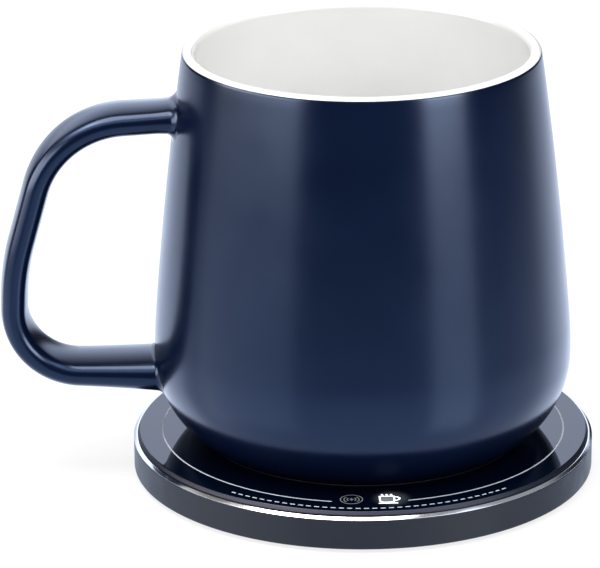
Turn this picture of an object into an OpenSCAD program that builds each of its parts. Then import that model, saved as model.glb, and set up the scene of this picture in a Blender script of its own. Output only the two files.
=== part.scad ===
// Self-heating mug: a ceramic mug with an induction plate under its floor, standing on a
// flat round warming pad with a glass top. Millimetres, +Z up, the table is z = 0.
// Z runs through the pad's middle, the handle points to -X and the pad's front is -Y.

/* [Mug] */
// Height of the mug from its foot to the top of its rim
mug_h = 90; // [84:1:105]
// Outer diameter of the rim
rim_d = 80; // [74:1:86]
// Outer diameter at the widest part of the belly
belly_d = 95; // [91:1:103]
// Outer diameter of the foot that stands on the glass
foot_d = 73; // [68:1:78]
// Radius of the outer corner between belly and foot
corner_r = 22.5; // [19:0.5:26]
// Radius of the slight swell of the side
side_r = 1000; // [500:50:3000]
// Thickness of the wall, which the rim rounds over
mug_wall = 3.6; // [3:0.1:4.6]
// Height of the drinking floor above the foot
mug_floor = 7; // [6:0.5:9]
// Radius of the inner corner between wall and floor
inner_r = 14; // [9:0.5:17]
// Width of the ring that the mug stands on
foot_w = 5; // [4:0.5:8]

/* [Handle] */
// From the top of the rim down to the handle's middle line at its upper root
handle_drop = 14.8; // [12:0.2:20]
// Height of the handle's middle line at its lower root
handle_low = 14.8; // [12:0.2:20]
// From the belly out to the handle's middle line at the heel
handle_out = 31.9; // [27:0.1:36]
// How far the shoulder corner lies below the upper root
shoulder_fall = 1.4; // [0:0.2:6]
// How far the shoulder corner lies in from the heel corner
shoulder_in = 10.8; // [6:0.2:13]
// How far up the slight turn in the grip lies, from heel corner to shoulder corner
waist_share = 0.42; // [0.35:0.01:0.6]
// How far the turn in the grip lies in from the heel corner
waist_in = 1.2; // [0:0.1:2]
// How far the heel corner lies above the lower root
heel_rise = 1.6; // [0:0.2:4]
// Bend radius at the shoulder
shoulder_r = 21.5; // [12:0.5:24]
// How much of the grip's straight run below the turn goes into the turn's bend
waist_ease = 0.7; // [0.2:0.05:0.95]
// Bend radius at the heel
heel_r = 14.5; // [8:0.5:15]
// Width of the handle across the grip
handle_w = 13.2; // [10:0.2:16]
// Thickness of the handle
handle_t = 5.3; // [5:0.1:7]
// Radius along the handle's edges
handle_edge = 2.4; // [1:0.1:2.4]
// Growth of the section where the upper root runs into the wall
upper_flare = 1.4; // [0:0.1:2.2]
// Growth of the section where the lower root runs into the wall
lower_flare = 1; // [0:0.1:2]
// Length over which the upper root grows
upper_flare_len = 5; // [3:0.5:8]
// Length over which the lower root grows
lower_flare_len = 27; // [10:1:30]

/* [Heater in the mug] */
// Diameter of the induction plate
plate_d = 58; // [50:1:60]
// Thickness of the induction plate
plate_t = 0.8; // [0.5:0.1:1.2]
// Thickness of the cast seal below the plate
heater_seal_t = 1; // [0.6:0.1:1.6]
// Clear height between the seal and the glass
foot_clear = 0.6; // [0.3:0.1:1.2]

/* [Pad shell] */
// Outer diameter of the pad
pad_d = 105; // [102:1:125]
// Height that the feet lift the base off the table
foot_h = 0.8; // [0.5:0.1:2]
// Diameter of a rubber foot
foot_pad_d = 10; // [8:0.5:11]
// Depth of a foot's pocket in the base cover
foot_sink = 0.6; // [0.4:0.1:0.8]
// Thickness of the base cover
cover_t = 1.2; // [1:0.1:1.8]
// Thickness of the housing's side wall
wall_t = 2.2; // [1.8:0.1:2.6]
// Width of the step that the base cover seats on
seat_w = 0.6; // [0.4:0.1:0.9]
// Rounding of the housing's lower edge
edge_r = 0.5; // [0.3:0.1:0.7]
// Width of the ledge under the trim ring
ledge_w = 1.8; // [1.4:0.1:2]
// Thickness of that ledge
ledge_t = 1; // [0.8:0.1:1.4]
// Thickness of the housing's lip outside the trim ring
lip_t = 0.5; // [0.4:0.05:0.7]
// Thickness of the trim ring's flange
flange_t = 0.6; // [0.4:0.1:0.8]
// Width of the flange under the glass
flange_w = 2; // [1.6:0.1:2.4]
// Thickness of the trim ring's upright web
web_t = 0.3; // [0.2:0.05:0.5]
// Height of the trim ring's bright chamfer
chamfer_h = 0.9; // [0.6:0.1:1.2]

/* [Glass] */
// Thickness of the glass
glass_t = 2; // [1.8:0.1:3]
// Height that the glass stands above the trim ring
glass_stand = 1; // [0.8:0.1:1.2]
// Width of the bevel round the glass
bevel_w = 0.5; // [0.3:0.1:1]
// Height of the bevel round the glass
bevel_h = 0.8; // [0.4:0.1:0.9]
// Thickness of the adhesive seal under the glass
seal_t = 0.2; // [0.1:0.05:0.3]

/* [Coil stack] */
// Space between base cover and circuit board
board_gap = 0.6; // [0.4:0.1:1.2]
// Thickness of the circuit board
board_t = 1; // [0.8:0.1:1.6]
// Distance between the board's edge and the housing wall
board_edge = 3.3; // [2.8:0.1:4]
// Thickness of the coil carrier's floor
carrier_t = 0.4; // [0.4:0.1:0.8]
// Thickness of the coil carrier's rim
carrier_wall = 1; // [0.8:0.1:1.4]
// Thickness of the ferrite plate
ferrite_t = 1.3; // [1.3:0.1:1.8]
// Diameter of the coil's wire
wire_d = 1.2; // [1:0.1:1.3]
// Gap between two turns
turn_gap = 0.45; // [0.42:0.01:0.6]
// Turns of the coil
turns = 10; // [7:1:11]
// Radius of the innermost turn
coil_in_r = 12; // [11:0.5:14]
// Thickness of the insulating sheet on the coil
sheet_t = 0.6; // [0.3:0.1:1]
// Air gap between the sheet and the glass
glass_gap = 0.2; // [0.1:0.1:0.6]
// Diameter of the temperature sensor's bead
bead_d = 3; // [2:0.2:4]
// Height of the temperature sensor's bead
bead_h = 1; // [0.8:0.1:1.4]

/* [Screws] */
// Distance of the housing's screws from the pad's edge
boss_in = 7.5; // [7:0.1:8.5]
// Diameter of a screw boss
boss_d = 6.4; // [5:0.2:7]
// Diameter of a base screw's shank
screw_d = 2; // [1.6:0.1:2.5]
// Diameter of a base screw's head
head_d = 3.8; // [3.4:0.1:4.4]
// Thickness of a base screw's head
head_t = 0.7; // [0.5:0.1:1]
// Thickness of the cover between a screw's head and the boss
head_seat_t = 0.8; // [0.7:0.1:1.2]
// Length of a base screw inside its boss
screw_bite = 2.4; // [1.6:0.1:2.6]
// Diameter of a board screw's shank
board_screw_d = 1.6; // [1.2:0.1:2]
// Diameter of a board screw's head
board_head_d = 3; // [2.6:0.1:3.6]
// Thickness of a board screw's head
board_head_t = 0.8; // [0.5:0.1:1.2]
// Thickness of the base cover left under a board screw
screw_floor = 0.5; // [0.3:0.1:0.7]
// Distance of the board's screws from the coil carrier
post_out = 6.5; // [4:0.5:8]
// Diameter of a post under the board
post_d = 5; // [4:0.2:6]

/* [Signs] */
// Distance of the lit signs from the pad's edge
sign_in = 7.8; // [7.6:0.1:8.5]
// Distance between the two signs' middles
sign_pitch = 8; // [7.4:0.1:9]
// Diameter of a sign's diffuser
sign_d = 5.4; // [4.6:0.1:5.6]
// Thickness of a diffuser
diffuser_t = 1; // [0.6:0.1:1.6]
// Wall of the light box
box_wall = 0.6; // [0.5:0.1:0.7]
// Width of the step that a diffuser seats on
box_step = 0.5; // [0.3:0.1:0.7]
// Size of a light-emitting chip: length, width and height
led_size = [1.6, 0.8, 0.6]; // [0.3:0.1:2]

/* [Power port] */
// Width of the port's metal shell
port_w = 8.94; // [8.5:0.02:9.2]
// Height of the port's metal shell
port_h = 3.16; // [3:0.02:3.3]
// Length of the port's metal shell
port_l = 7.35; // [6.8:0.05:7.8]
// Thickness of the shell's metal
port_skin = 0.3; // [0.2:0.05:0.4]
// Depth that the shell sinks below the board's upper face
port_sink = 0.8; // [0.6:0.1:1]
// Distance of the shell's mouth in from the pad's edge
port_inset = 0.6; // [0.4:0.1:0.9]
// Width of the contact tongue
tongue_w = 6.7; // [6.2:0.1:6.9]
// Thickness of the contact tongue
tongue_t = 0.7; // [0.6:0.05:0.9]
// Distance of the tongue's tip in from the shell's mouth
tongue_in = 0.7; // [0.5:0.1:1.2]
// Length of the moulded block at the back of the shell
block_l = 2.2; // [1.6:0.1:2.6]
// Soldering tab on each side of the shell: width, length and thickness
tab_size = [1.2, 1.4, 0.3]; // [0.2:0.1:1.6]

/* [Board parts] */
// Distance of the board's parts from the coil carrier
chip_out = 6.2; // [4:0.2:6.4]
// Control chip: length, width and height
chip_size = [6, 6, 0.9]; // [0.6:0.1:7]
// Power transistor: length, width and height
transistor_size = [3.3, 3.3, 0.8]; // [0.6:0.1:3.6]
// Resonance capacitor: length, width and height
capacitor_size = [3.2, 2.5, 2]; // [1.2:0.1:3.4]
// Filter inductor: length, width and height
inductor_size = [6.3, 6.3, 2.4]; // [1.8:0.1:6.6]

/* [Clearances] */
// Clearance round a piece that drops into another
fit = 0.1; // [0.05:0.05:0.15]
// Clearance round a screw's shank
screw_fit = 0.1; // [0.05:0.05:0.2]
// Visible seam between housing and trim ring
seam = 0.1; // [0.05:0.05:0.2]
// Clearance round bosses, ports and leads
clear = 0.4; // [0.3:0.1:0.5]
// Clearance between the port's shell and its hole
port_fit = 0.15; // [0.1:0.05:0.3]
// Gap of the coil's leads above the board
lead_gap = 0.05; // [0.02:0.01:0.1]

/* [Hidden] */
$fn = 96;

// Heights of the pad's layers, from the table up
z_cover = foot_h;
z_inside = z_cover + cover_t;
z_board = z_inside + board_gap;
z_chips = z_board + board_t;
z_ferrite = z_chips + carrier_t;
z_coil = z_ferrite + ferrite_t;
z_sheet = z_coil + wire_d;
z_glass = z_sheet + sheet_t + glass_gap;
z_top = z_glass + glass_t;
z_seal = z_glass - seal_t;
z_ledge = z_seal - flange_t;
z_trim = z_top - glass_stand;
z_lip = z_trim - chamfer_h;
z_head = z_cover + foot_sink + head_t;
z_boss = z_head + head_seat_t;
z_port = z_chips - port_sink + port_h / 2;

// Radii of the pad's rings, from the edge in
pad_r = pad_d / 2;
trim_r = pad_r - lip_t - fit;
web_r = trim_r - web_t;
glass_r = web_r - fit;
flange_r = glass_r - flange_w;
cavity_r = pad_r - wall_t;
ledge_r = cavity_r - ledge_w;
cover_r = cavity_r + seat_w - fit;
board_r = cavity_r - board_edge;

// The coil and what it lies in
pitch = wire_d + turn_gap;
coil_out_r = coil_in_r + turns * pitch;
carrier_in_r = coil_out_r + wire_d / 2 + clear;
carrier_r = carrier_in_r + carrier_wall;
hole_r = coil_in_r - 2.5;
drop_r = coil_in_r - 4.8;
slot_w = wire_d + 2 * clear;
z_wire = z_coil + wire_d / 2;
z_lead = z_chips + lead_gap + wire_d / 2;
turn_steps = 24;
wire_sides = 6;
coil_start = 50;
lead_angle = coil_start + 100;
lead_end_r = carrier_r + 4;
lead_len = 20;

// Places on the pad, as angles from +X
boss_angles = [45, 135, 225, 315];
post_angles = [0, 120, 240];
boss_r = pad_r - boss_in;
post_r = carrier_r + post_out;
chip_r = carrier_r + chip_out;
chip_angle = 167;
inductor_angle = 70;
transistor_angles = [184, 193, 202, 211];
capacitor_angles = [325, 333, 341, 349];
sign_y = -(pad_r - sign_in);
sign_xs = [-sign_pitch / 2, sign_pitch / 2];
port_front = pad_r - port_inset;

// Colours
navy = [0.13, 0.18, 0.30];
black_glass = [0.03, 0.03, 0.04];
bright_metal = [0.85, 0.86, 0.88];
charcoal = [0.20, 0.20, 0.22];
dark_plastic = [0.10, 0.10, 0.11];
rubber_grey = [0.22, 0.22, 0.23];
steel = [0.62, 0.63, 0.65];
copper = [0.72, 0.42, 0.22];
board_green = [0.08, 0.30, 0.18];
ferrite_grey = [0.28, 0.27, 0.27];
silicone = [0.55, 0.56, 0.58];
frosted = [0.90, 0.92, 0.94];
ceramic_tan = [0.62, 0.52, 0.40];

// Curves
function unit(v) = v / norm(v);
function angle_of(v) = atan2(v.y, v.x);
function polar(r, a) = r * [cos(a), sin(a)];
function at_height(p, z) = [p.x, p.y, z];
function after_first(list) = [for (i = [1:len(list) - 1]) list[i]];
function wrap(a) = a > 180 ? a - 360 : a < -180 ? a + 360 : a;
function ease(t) = t <= 0 ? 0 : t >= 1 ? 1 : t * t * (3 - 2 * t);

// Points along an arc about c from angle a0 to a1
function arc(c, r, a0, a1, n) = [for (i = [0:n]) c + polar(r, a0 + (a1 - a0) * i / n)];

// Points from p towards q, without q
function run(p, q, n) = [for (i = [0:n - 1]) p + (q - p) * i / n];

// Centre of the circle that touches two circles from outside them, on their -X side
function far_centre(a, ra, b, rb) =
    let (d = norm(b - a), u = (b - a) / d, x = (ra * ra - rb * rb + d * d) / (2 * d))
    a + x * u + sqrt(ra * ra - x * x) * [u.y, -u.x];

// Half of the angle at the corner v between p and q
function half_angle(p, v, q) = acos(unit(p - v) * unit(q - v)) / 2;

// Arc of radius r that rounds the corner v between p and q
function bend(p, v, q, r, n) =
    let (u = unit(p - v), w = unit(q - v), half = half_angle(p, v, q),
        c = v + unit(u + w) * r / sin(half),
        a0 = angle_of(v + u * r / tan(half) - c),
        a1 = angle_of(v + w * r / tan(half) - c))
    arc(c, r, a0, a0 + wrap(a1 - a0), n);

// The mug's outline, as radius and height above its foot
rim_c = [(rim_d - mug_wall) / 2, mug_h - mug_wall / 2];
corner_x = belly_d / 2 - corner_r;
corner_c = [corner_x, sqrt(pow(corner_r, 2) - pow(foot_d / 2 - corner_x, 2))];
side_c = far_centre(rim_c, side_r - mug_wall / 2, corner_c, side_r - corner_r);
inner_z = mug_floor + inner_r;
inner_reach = side_r - mug_wall - inner_r;
inner_c = [side_c.x + sqrt(pow(inner_reach, 2) - pow(inner_z - side_c.y, 2)), inner_z];
rim_angle = angle_of(rim_c - side_c);
corner_angle = angle_of(corner_c - side_c);
inner_angle = angle_of(inner_c - side_c);
foot_angle = angle_of([foot_d / 2, 0] - corner_c);
recess_r = foot_d / 2 - foot_w;
recess_h = foot_clear + heater_seal_t + plate_t;

outer_curve = concat(
    arc(corner_c, corner_r, foot_angle, corner_angle, 18),
    after_first(arc(side_c, side_r, corner_angle, rim_angle, 10)));
inner_curve = concat(
    after_first(arc(side_c, side_r - mug_wall, rim_angle, inner_angle, 10)),
    after_first(arc(inner_c, inner_r, inner_angle, -90, 16)));
rim_curve = after_first(arc(rim_c, mug_wall / 2, rim_angle, rim_angle + 180, 14));
outer_top = outer_curve[len(outer_curve) - 1];

// Outer radius of the mug at a height above its foot
function outer_at(z) = z < corner_c.y + corner_r * sin(corner_angle)
    ? corner_c.x + sqrt(max(0, pow(corner_r, 2) - pow(z - corner_c.y, 2)))
    : side_c.x + sqrt(pow(side_r, 2) - pow(z - side_c.y, 2));

// The handle's middle line, as distance from the axis and height above the foot
root_x = rim_d / 2 - mug_wall / 2;
heel_x = belly_d / 2 + handle_out;
upper_root = [root_x, mug_h - handle_drop];
shoulder = [heel_x - shoulder_in, upper_root.y - shoulder_fall];
heel = [heel_x, handle_low + heel_rise];
waist = [heel_x - waist_in, heel.y + waist_share * (shoulder.y - heel.y)];
lower_root = [root_x, handle_low];
grip_straight = norm(waist - heel) - heel_r / tan(half_angle(waist, heel, lower_root));
waist_r = waist_ease * grip_straight * tan(half_angle(shoulder, waist, heel));
shoulder_bend = bend(upper_root, shoulder, waist, shoulder_r, 14);
waist_bend = bend(shoulder, waist, heel, waist_r, 5);
heel_bend = bend(waist, heel, lower_root, heel_r, 14);
root_steps = 20;
handle_line = concat(run(upper_root, shoulder_bend[0], root_steps), shoulder_bend, waist_bend,
    heel_bend, after_first(run(heel_bend[len(heel_bend) - 1], lower_root, root_steps)),
    [lower_root]);

// How much the handle's section has grown at a point of its middle line
function flare_at(p) =
    let (upper = p.y > waist.y, reach = upper ? upper_flare_len : lower_flare_len)
    (upper ? upper_flare : lower_flare)
        * pow(1 - min(1, max(0, (p.x - outer_at(p.y)) / reach)), 2);

// Handle section, rounded at its edges and grown by g
function handle_section(g) = [for (k = [0:3])
    each arc([(k == 0 || k == 3 ? 1 : -1) * (handle_t / 2 - handle_edge),
        (k < 2 ? 1 : -1) * (handle_w / 2 - handle_edge)], handle_edge + g, 90 * k, 90 * k + 90, 4)];

// Direction of a line of points at its point i
function along(line, i) = unit(line[min(i + 1, len(line) - 1)] - line[max(i - 1, 0)]);

function handle_ring(i) =
    let (p = handle_line[i], t = along(handle_line, i), n = [-t.y, t.x])
    [for (s = handle_section(flare_at(p))) [-(p.x + s.x * n.x), -s.y, z_top + p.y + s.x * n.y]];

// The coil's route: outer lead, turns from the outside in, drop inside the ferrite's hole, inner lead
coil_first = polar(coil_out_r, coil_start);
coil_tangent = polar(1, coil_start + 90);
lead_fall = [0.6 * lead_len, 0.95 * lead_len];
outer_lead = [for (s = [lead_len:-lead_len / 10:1])
    at_height(coil_first - s * coil_tangent,
        z_wire + (z_lead - z_wire) * ease((s - lead_fall[0]) / (lead_fall[1] - lead_fall[0])))];
coil_turns = [for (i = [0:turns * turn_steps])
    at_height(polar(coil_out_r - pitch * i / turn_steps, coil_start + 360 * i / turn_steps), z_wire)];
drop_turn = 72;
drop_steps = 8;
drop_inward = 0.6;
drop_start = 0.4;
coil_drop = [for (i = [1:drop_steps])
    let (t = i / drop_steps)
    at_height(polar(coil_in_r + (drop_r - coil_in_r) * ease(t / drop_inward), coil_start + drop_turn * t),
        z_wire + (z_lead - z_wire) * ease((t - drop_start) / (1 - drop_start)))];
lead_turn = lead_angle - coil_start - drop_turn;
inner_lead = concat(
    [at_height(polar(drop_r + 0.1, lead_angle - 0.4 * lead_turn), z_lead)],
    [for (r = [drop_r + 2:3:lead_end_r]) at_height(polar(r, lead_angle), z_lead)]);
coil_line = concat(outer_lead, coil_turns, coil_drop, inner_lead);

function wire_ring(i) =
    let (t = along(coil_line, i), n = unit(cross(t, [0, 0, 1])), b = cross(n, t))
    [for (k = [0:wire_sides - 1])
        coil_line[i] + wire_d / 2 * (n * cos(360 * k / wire_sides) + b * sin(360 * k / wire_sides))];

// Least gap of the wire to itself, between points at least half a turn apart
coil_gap = min([for (i = [0:len(coil_line) - 1])
    for (j = [i + turn_steps / 2:1:len(coil_line) - 1]) norm(coil_line[i] - coil_line[j])]) - wire_d;
echo(coil_gap = coil_gap);

// Solid through rings of points, closed at both ends, in triangles
module skin(rings) {
    m = len(rings[0]);
    last = (len(rings) - 1) * m;
    polyhedron(
        points = [for (ring = rings) each ring],
        faces = concat(
            [for (i = [0:len(rings) - 2]) for (j = [0:m - 1])
                each let (a = i * m + j, b = i * m + (j + 1) % m)
                [[a, b, b + m], [a, b + m, a + m]]],
            [for (j = [1:m - 2]) [0, j + 1, j]],
            [for (j = [1:m - 2]) [last, last + j, last + j + 1]]));
}

// Ring or disc between two radii and two heights
module ring(r_in, r_out, z_low, z_high) {
    rotate_extrude()
        translate([r_in, z_low])
            square([r_out - r_in, z_high - z_low]);
}

// Upright rod on the point p
module rod(p, r, z_low, z_high) {
    translate([p.x, p.y, z_low])
        cylinder(r = r, h = z_high - z_low);
}

// Board part of a size, at an angle and radius on the board
module board_part(size, a, r) {
    rotate(a)
        translate([r - size.x / 2, -size.y / 2, z_chips])
            cube(size);
}

// Slot for a lead with its clearance, from the point p along the angle a
module lead_slot(p, a, z_low, z_high) {
    translate(p)
        rotate(a)
            translate([0, -slot_w / 2, z_low])
                cube([lead_end_r, slot_w, z_high - z_low]);
}

// Outline with round ends, for the power port
module port_outline(grow) {
    h = port_h + 2 * grow;
    run_w = port_w - port_h;
    square([run_w, h], center = true);
    for (side = [-1, 1])
        translate([side * run_w / 2, 0])
            circle(d = h);
}

// Port outline drawn out along Y between two places
module port_prism(grow, y_low, y_high) {
    translate([0, y_high, z_port])
        rotate([90, 0, 0])
            linear_extrude(y_high - y_low)
                port_outline(grow);
}

module mug_body() {
    color(navy)
        translate([0, 0, z_top])
            rotate_extrude()
                polygon(concat([[0, recess_h], [recess_r, recess_h], [recess_r, 0]],
                    outer_curve, rim_curve, inner_curve, [[0, mug_floor]]));
}

module mug_handle() {
    color(navy)
        difference() {
            skin([for (i = [0:len(handle_line) - 1]) handle_ring(i)]);
            translate([0, 0, z_top])
                rotate_extrude()
                    polygon(concat([[0, 0]], outer_curve, [[0, outer_top.y]]));
        }
}

module heating_plate() {
    color(steel)
        rod([0, 0], plate_d / 2, z_top + recess_h - plate_t, z_top + recess_h);
}

module heater_seal() {
    color(silicone)
        rod([0, 0], recess_r - fit, z_top + foot_clear, z_top + foot_clear + heater_seal_t);
}

module glass_top() {
    color(black_glass)
        rotate_extrude()
            polygon([[0, z_glass], [glass_r, z_glass], [glass_r, z_top - bevel_h],
                [glass_r - bevel_w, z_top], [0, z_top]]);
}

module glass_seal() {
    color(dark_plastic)
        ring(flange_r, glass_r, z_seal, z_glass);
}

module trim_ring() {
    color(bright_metal)
        rotate_extrude()
            polygon([[flange_r, z_ledge], [trim_r, z_ledge], [trim_r, z_lip + seam],
                [pad_r, z_lip + seam], [trim_r, z_trim], [web_r, z_trim],
                [web_r, z_seal], [flange_r, z_seal]]);
}

module housing() {
    color(charcoal)
        difference() {
            union() {
                rotate_extrude()
                    polygon(concat([[cover_r + fit, z_cover]],
                        arc([pad_r - edge_r, z_cover + edge_r], edge_r, -90, 0, 6),
                        [[pad_r, z_lip], [pad_r - lip_t, z_lip], [pad_r - lip_t, z_ledge],
                            [ledge_r, z_ledge], [ledge_r, z_ledge - ledge_t],
                            [cavity_r, z_ledge - ledge_t], [cavity_r, z_inside],
                            [cover_r + fit, z_inside]]));
                for (a = boss_angles) {
                    rod(polar(boss_r, a), boss_d / 2, z_boss, z_ledge);
                    rotate(a)
                        translate([boss_r, -boss_d / 6, z_boss])
                            cube([cavity_r + wall_t / 3 - boss_r, boss_d / 3, z_ledge - z_boss]);
                }
            }
            for (a = boss_angles)
                rod(polar(boss_r, a), screw_d / 2 + screw_fit / 2, z_boss - fit,
                    z_boss + screw_bite + screw_fit);
            port_prism(port_fit, ledge_r - wall_t, pad_r + wall_t);
        }
}

module base_cover() {
    color(dark_plastic)
        difference() {
            union() {
                ring(0, cover_r, z_cover, z_inside);
                for (a = boss_angles)
                    rod(polar(boss_r, a), boss_d / 2, z_cover + foot_sink, z_boss);
                for (a = post_angles)
                    rod(polar(post_r, a), post_d / 2, z_cover + screw_floor, z_board);
            }
            for (a = boss_angles) {
                rod(polar(boss_r, a), foot_pad_d / 2 + fit, z_cover - fit, z_cover + foot_sink);
                rod(polar(boss_r, a), head_d / 2 + screw_fit, z_cover, z_head);
                rod(polar(boss_r, a), screw_d / 2 + screw_fit, z_cover, z_boss + fit);
            }
            for (a = post_angles)
                rod(polar(post_r, a), board_screw_d / 2 + screw_fit / 2, z_cover + screw_floor,
                    z_board + fit);
        }
}

module rubber_foot(i) {
    foot_edge = foot_h / 2;
    color(rubber_grey)
        translate(polar(boss_r, boss_angles[i - 1]))
            rotate_extrude()
                polygon(concat([[0, 0]],
                    arc([foot_pad_d / 2 - foot_edge, foot_edge], foot_edge, -90, 0, 6),
                    [[foot_pad_d / 2, z_cover + foot_sink], [0, z_cover + foot_sink]]));
}

module base_screws() {
    color(steel)
        for (a = boss_angles) {
            rod(polar(boss_r, a), head_d / 2, z_head - head_t, z_head);
            rod(polar(boss_r, a), screw_d / 2, z_head, z_boss + screw_bite);
        }
}

module main_board() {
    notch_w = port_w + 2 * clear;
    notch_y = port_front - port_l - clear;
    color(board_green)
        difference() {
            ring(0, board_r, z_board, z_chips);
            for (a = boss_angles)
                rod(polar(boss_r, a), boss_d / 2 + clear, z_board - fit, z_chips + fit);
            for (a = post_angles)
                rod(polar(post_r, a), board_screw_d / 2 + screw_fit, z_board - fit, z_chips + fit);
            translate([-notch_w / 2, notch_y, z_board - fit])
                cube([notch_w, pad_r - notch_y, board_t + 2 * fit]);
        }
}

module board_screws() {
    color(steel)
        for (a = post_angles) {
            rod(polar(post_r, a), board_head_d / 2, z_chips, z_chips + board_head_t);
            rod(polar(post_r, a), board_screw_d / 2, z_cover + screw_floor + screw_fit, z_chips);
        }
}

module coil_carrier() {
    post_r_small = bead_d / 2 + clear;
    color(dark_plastic)
        difference() {
            union() {
                ring(hole_r, carrier_r, z_chips, z_ferrite);
                ring(carrier_in_r, carrier_r, z_chips, z_sheet);
                rod([0, 0], post_r_small, z_chips, z_sheet - bead_h);
                rotate(lead_angle + 180)
                    translate([0, -post_r_small / 2, z_chips])
                        cube([hole_r + carrier_wall, post_r_small, carrier_t]);
            }
            lead_slot(polar(hole_r - clear, lead_angle), lead_angle, z_chips - fit, z_coil);
            lead_slot(coil_first, coil_start - 90, z_coil - clear, z_sheet + fit);
            for (side = [-1, 1])
                rod([side * bead_d / 4, 0], bead_d / 10 + fit, z_chips - fit, z_sheet);
        }
}

module ferrite_plate() {
    color(ferrite_grey)
        difference() {
            ring(hole_r, carrier_in_r - fit, z_ferrite, z_coil);
            lead_slot(polar(hole_r - clear, lead_angle), lead_angle, z_ferrite - fit, z_coil + fit);
        }
}

module heating_coil() {
    color(copper)
        skin([for (i = [0:len(coil_line) - 1]) wire_ring(i)]);
}

module insulating_sheet() {
    color(ceramic_tan)
        ring(0, carrier_r, z_sheet, z_sheet + sheet_t);
}

module temperature_sensor() {
    color(copper) {
        rod([0, 0], bead_d / 2, z_sheet - bead_h, z_sheet);
        for (side = [-1, 1])
            rod([side * bead_d / 4, 0], bead_d / 10, z_chips, z_sheet - bead_h);
    }
}

module light_box() {
    well_r = sign_d / 2 + fit;
    color(dark_plastic)
        difference() {
            union() {
                for (x = sign_xs)
                    rod([x, sign_y], well_r + box_wall, z_chips, z_glass);
                translate([-sign_pitch / 2, sign_y - well_r / 2, z_chips])
                    cube([sign_pitch, well_r, z_glass - z_chips]);
            }
            for (x = sign_xs) {
                rod([x, sign_y], well_r - box_step, z_chips - fit, z_glass);
                rod([x, sign_y], well_r, z_glass - diffuser_t, z_glass + fit);
            }
        }
}

module diffuser(i) {
    color(frosted)
        rod([sign_xs[i - 1], sign_y], sign_d / 2, z_glass - diffuser_t, z_glass);
}

module status_led(i) {
    color(frosted)
        translate([sign_xs[i - 1] - led_size.x / 2, sign_y - led_size.y / 2, z_chips])
            cube(led_size);
}

module control_chip() {
    color(dark_plastic)
        board_part(chip_size, chip_angle, chip_r);
}

module filter_inductor() {
    color(ferrite_grey)
        board_part(inductor_size, inductor_angle, chip_r);
}

module power_transistor(i) {
    color(dark_plastic)
        board_part(transistor_size, transistor_angles[i - 1], chip_r);
}

module resonance_capacitor(i) {
    color(ceramic_tan)
        board_part(capacitor_size, capacitor_angles[i - 1], chip_r);
}

module port_shell() {
    color(bright_metal) {
        difference() {
            port_prism(0, port_front - port_l, port_front);
            port_prism(-port_skin, port_front - port_l - fit, port_front + fit);
        }
        for (side = [-1, 1])
            translate([side * (port_w / 2 + tab_size.x / 2 - port_skin / 2) - tab_size.x / 2,
                port_front - port_l, z_chips])
                cube(tab_size);
    }
}

module port_tongue() {
    color(dark_plastic) {
        port_prism(-port_skin - fit / 2, port_front - port_l, port_front - port_l + block_l);
        translate([-tongue_w / 2, port_front - port_l, z_port - tongue_t / 2])
            cube([tongue_w, port_l - tongue_in, tongue_t]);
    }
}

mug_body();
mug_handle();
heating_plate();
heater_seal();
glass_top();
glass_seal();
trim_ring();
housing();
base_cover();
for (i = [1:4])
    rubber_foot(i);
base_screws();
main_board();
board_screws();
coil_carrier();
ferrite_plate();
heating_coil();
insulating_sheet();
temperature_sensor();
light_box();
for (i = [1:2])
    diffuser(i);
for (i = [1:2])
    status_led(i);
control_chip();
filter_inductor();
for (i = [1:4])
    power_transistor(i);
for (i = [1:4])
    resonance_capacitor(i);
port_shell();
port_tongue();
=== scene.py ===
"""Models the looks of a self-heating mug on its warming pad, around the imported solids.

Everything is in metres in the solids' own frame: +Z up, the table is z = 0, the handle
points to -X and the pad's front is -Y.
"""

import math
from collections import namedtuple

import bpy
from mathutils import Euler, Matrix, Quaternion, Vector


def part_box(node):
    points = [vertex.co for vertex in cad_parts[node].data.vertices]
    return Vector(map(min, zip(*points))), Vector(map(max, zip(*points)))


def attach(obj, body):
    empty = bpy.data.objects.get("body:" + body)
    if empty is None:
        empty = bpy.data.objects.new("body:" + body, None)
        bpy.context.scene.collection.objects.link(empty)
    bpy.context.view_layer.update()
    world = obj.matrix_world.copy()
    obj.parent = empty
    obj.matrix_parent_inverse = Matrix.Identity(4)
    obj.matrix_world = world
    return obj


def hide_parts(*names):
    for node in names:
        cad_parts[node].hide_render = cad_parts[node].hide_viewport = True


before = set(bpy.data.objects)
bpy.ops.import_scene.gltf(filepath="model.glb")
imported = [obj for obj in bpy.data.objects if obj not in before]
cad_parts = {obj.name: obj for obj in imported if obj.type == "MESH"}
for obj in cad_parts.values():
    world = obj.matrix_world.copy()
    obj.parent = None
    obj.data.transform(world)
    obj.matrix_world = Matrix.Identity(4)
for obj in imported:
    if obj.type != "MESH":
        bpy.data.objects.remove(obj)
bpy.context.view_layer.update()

bl_info = {
    "name": "Self-heating mug",
    "version": (1, 0, 0),
    "blender": (4, 5, 0),
    "location": "3D View > Sidebar > Mug",
    "description": "Models a ceramic mug, its induction warming pad and a plain stage",
    "category": "Object",
}

FULL_TURN = 2 * math.pi
QUARTER_TURN = math.pi / 2
ORIGIN = (0, 0, 0)
UP = (0, 0, 1)
MIDDLE = Vector((0.0, 0.0))

# Size of the plane that is merged to a chain's first point, and how near points are merged.
SEED = 0.001
MERGE = 1e-6

# Steps of the pad's turned pieces that show, and angles in degrees up to which edges are smooth.
FINE_STEPS = 256
MARK_SMOOTH = 20
PORT_SMOOTH = 30
HANDLE_SMOOTH = 40

# How far a handle root spreads for each length that it is inside the wall.
ROOT_SPREAD = 3.0

# Radii of the ring in a foot's sole, as shares of the foot's.
SOLE_RING = (0.52, 0.56, 0.64, 0.68)

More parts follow.
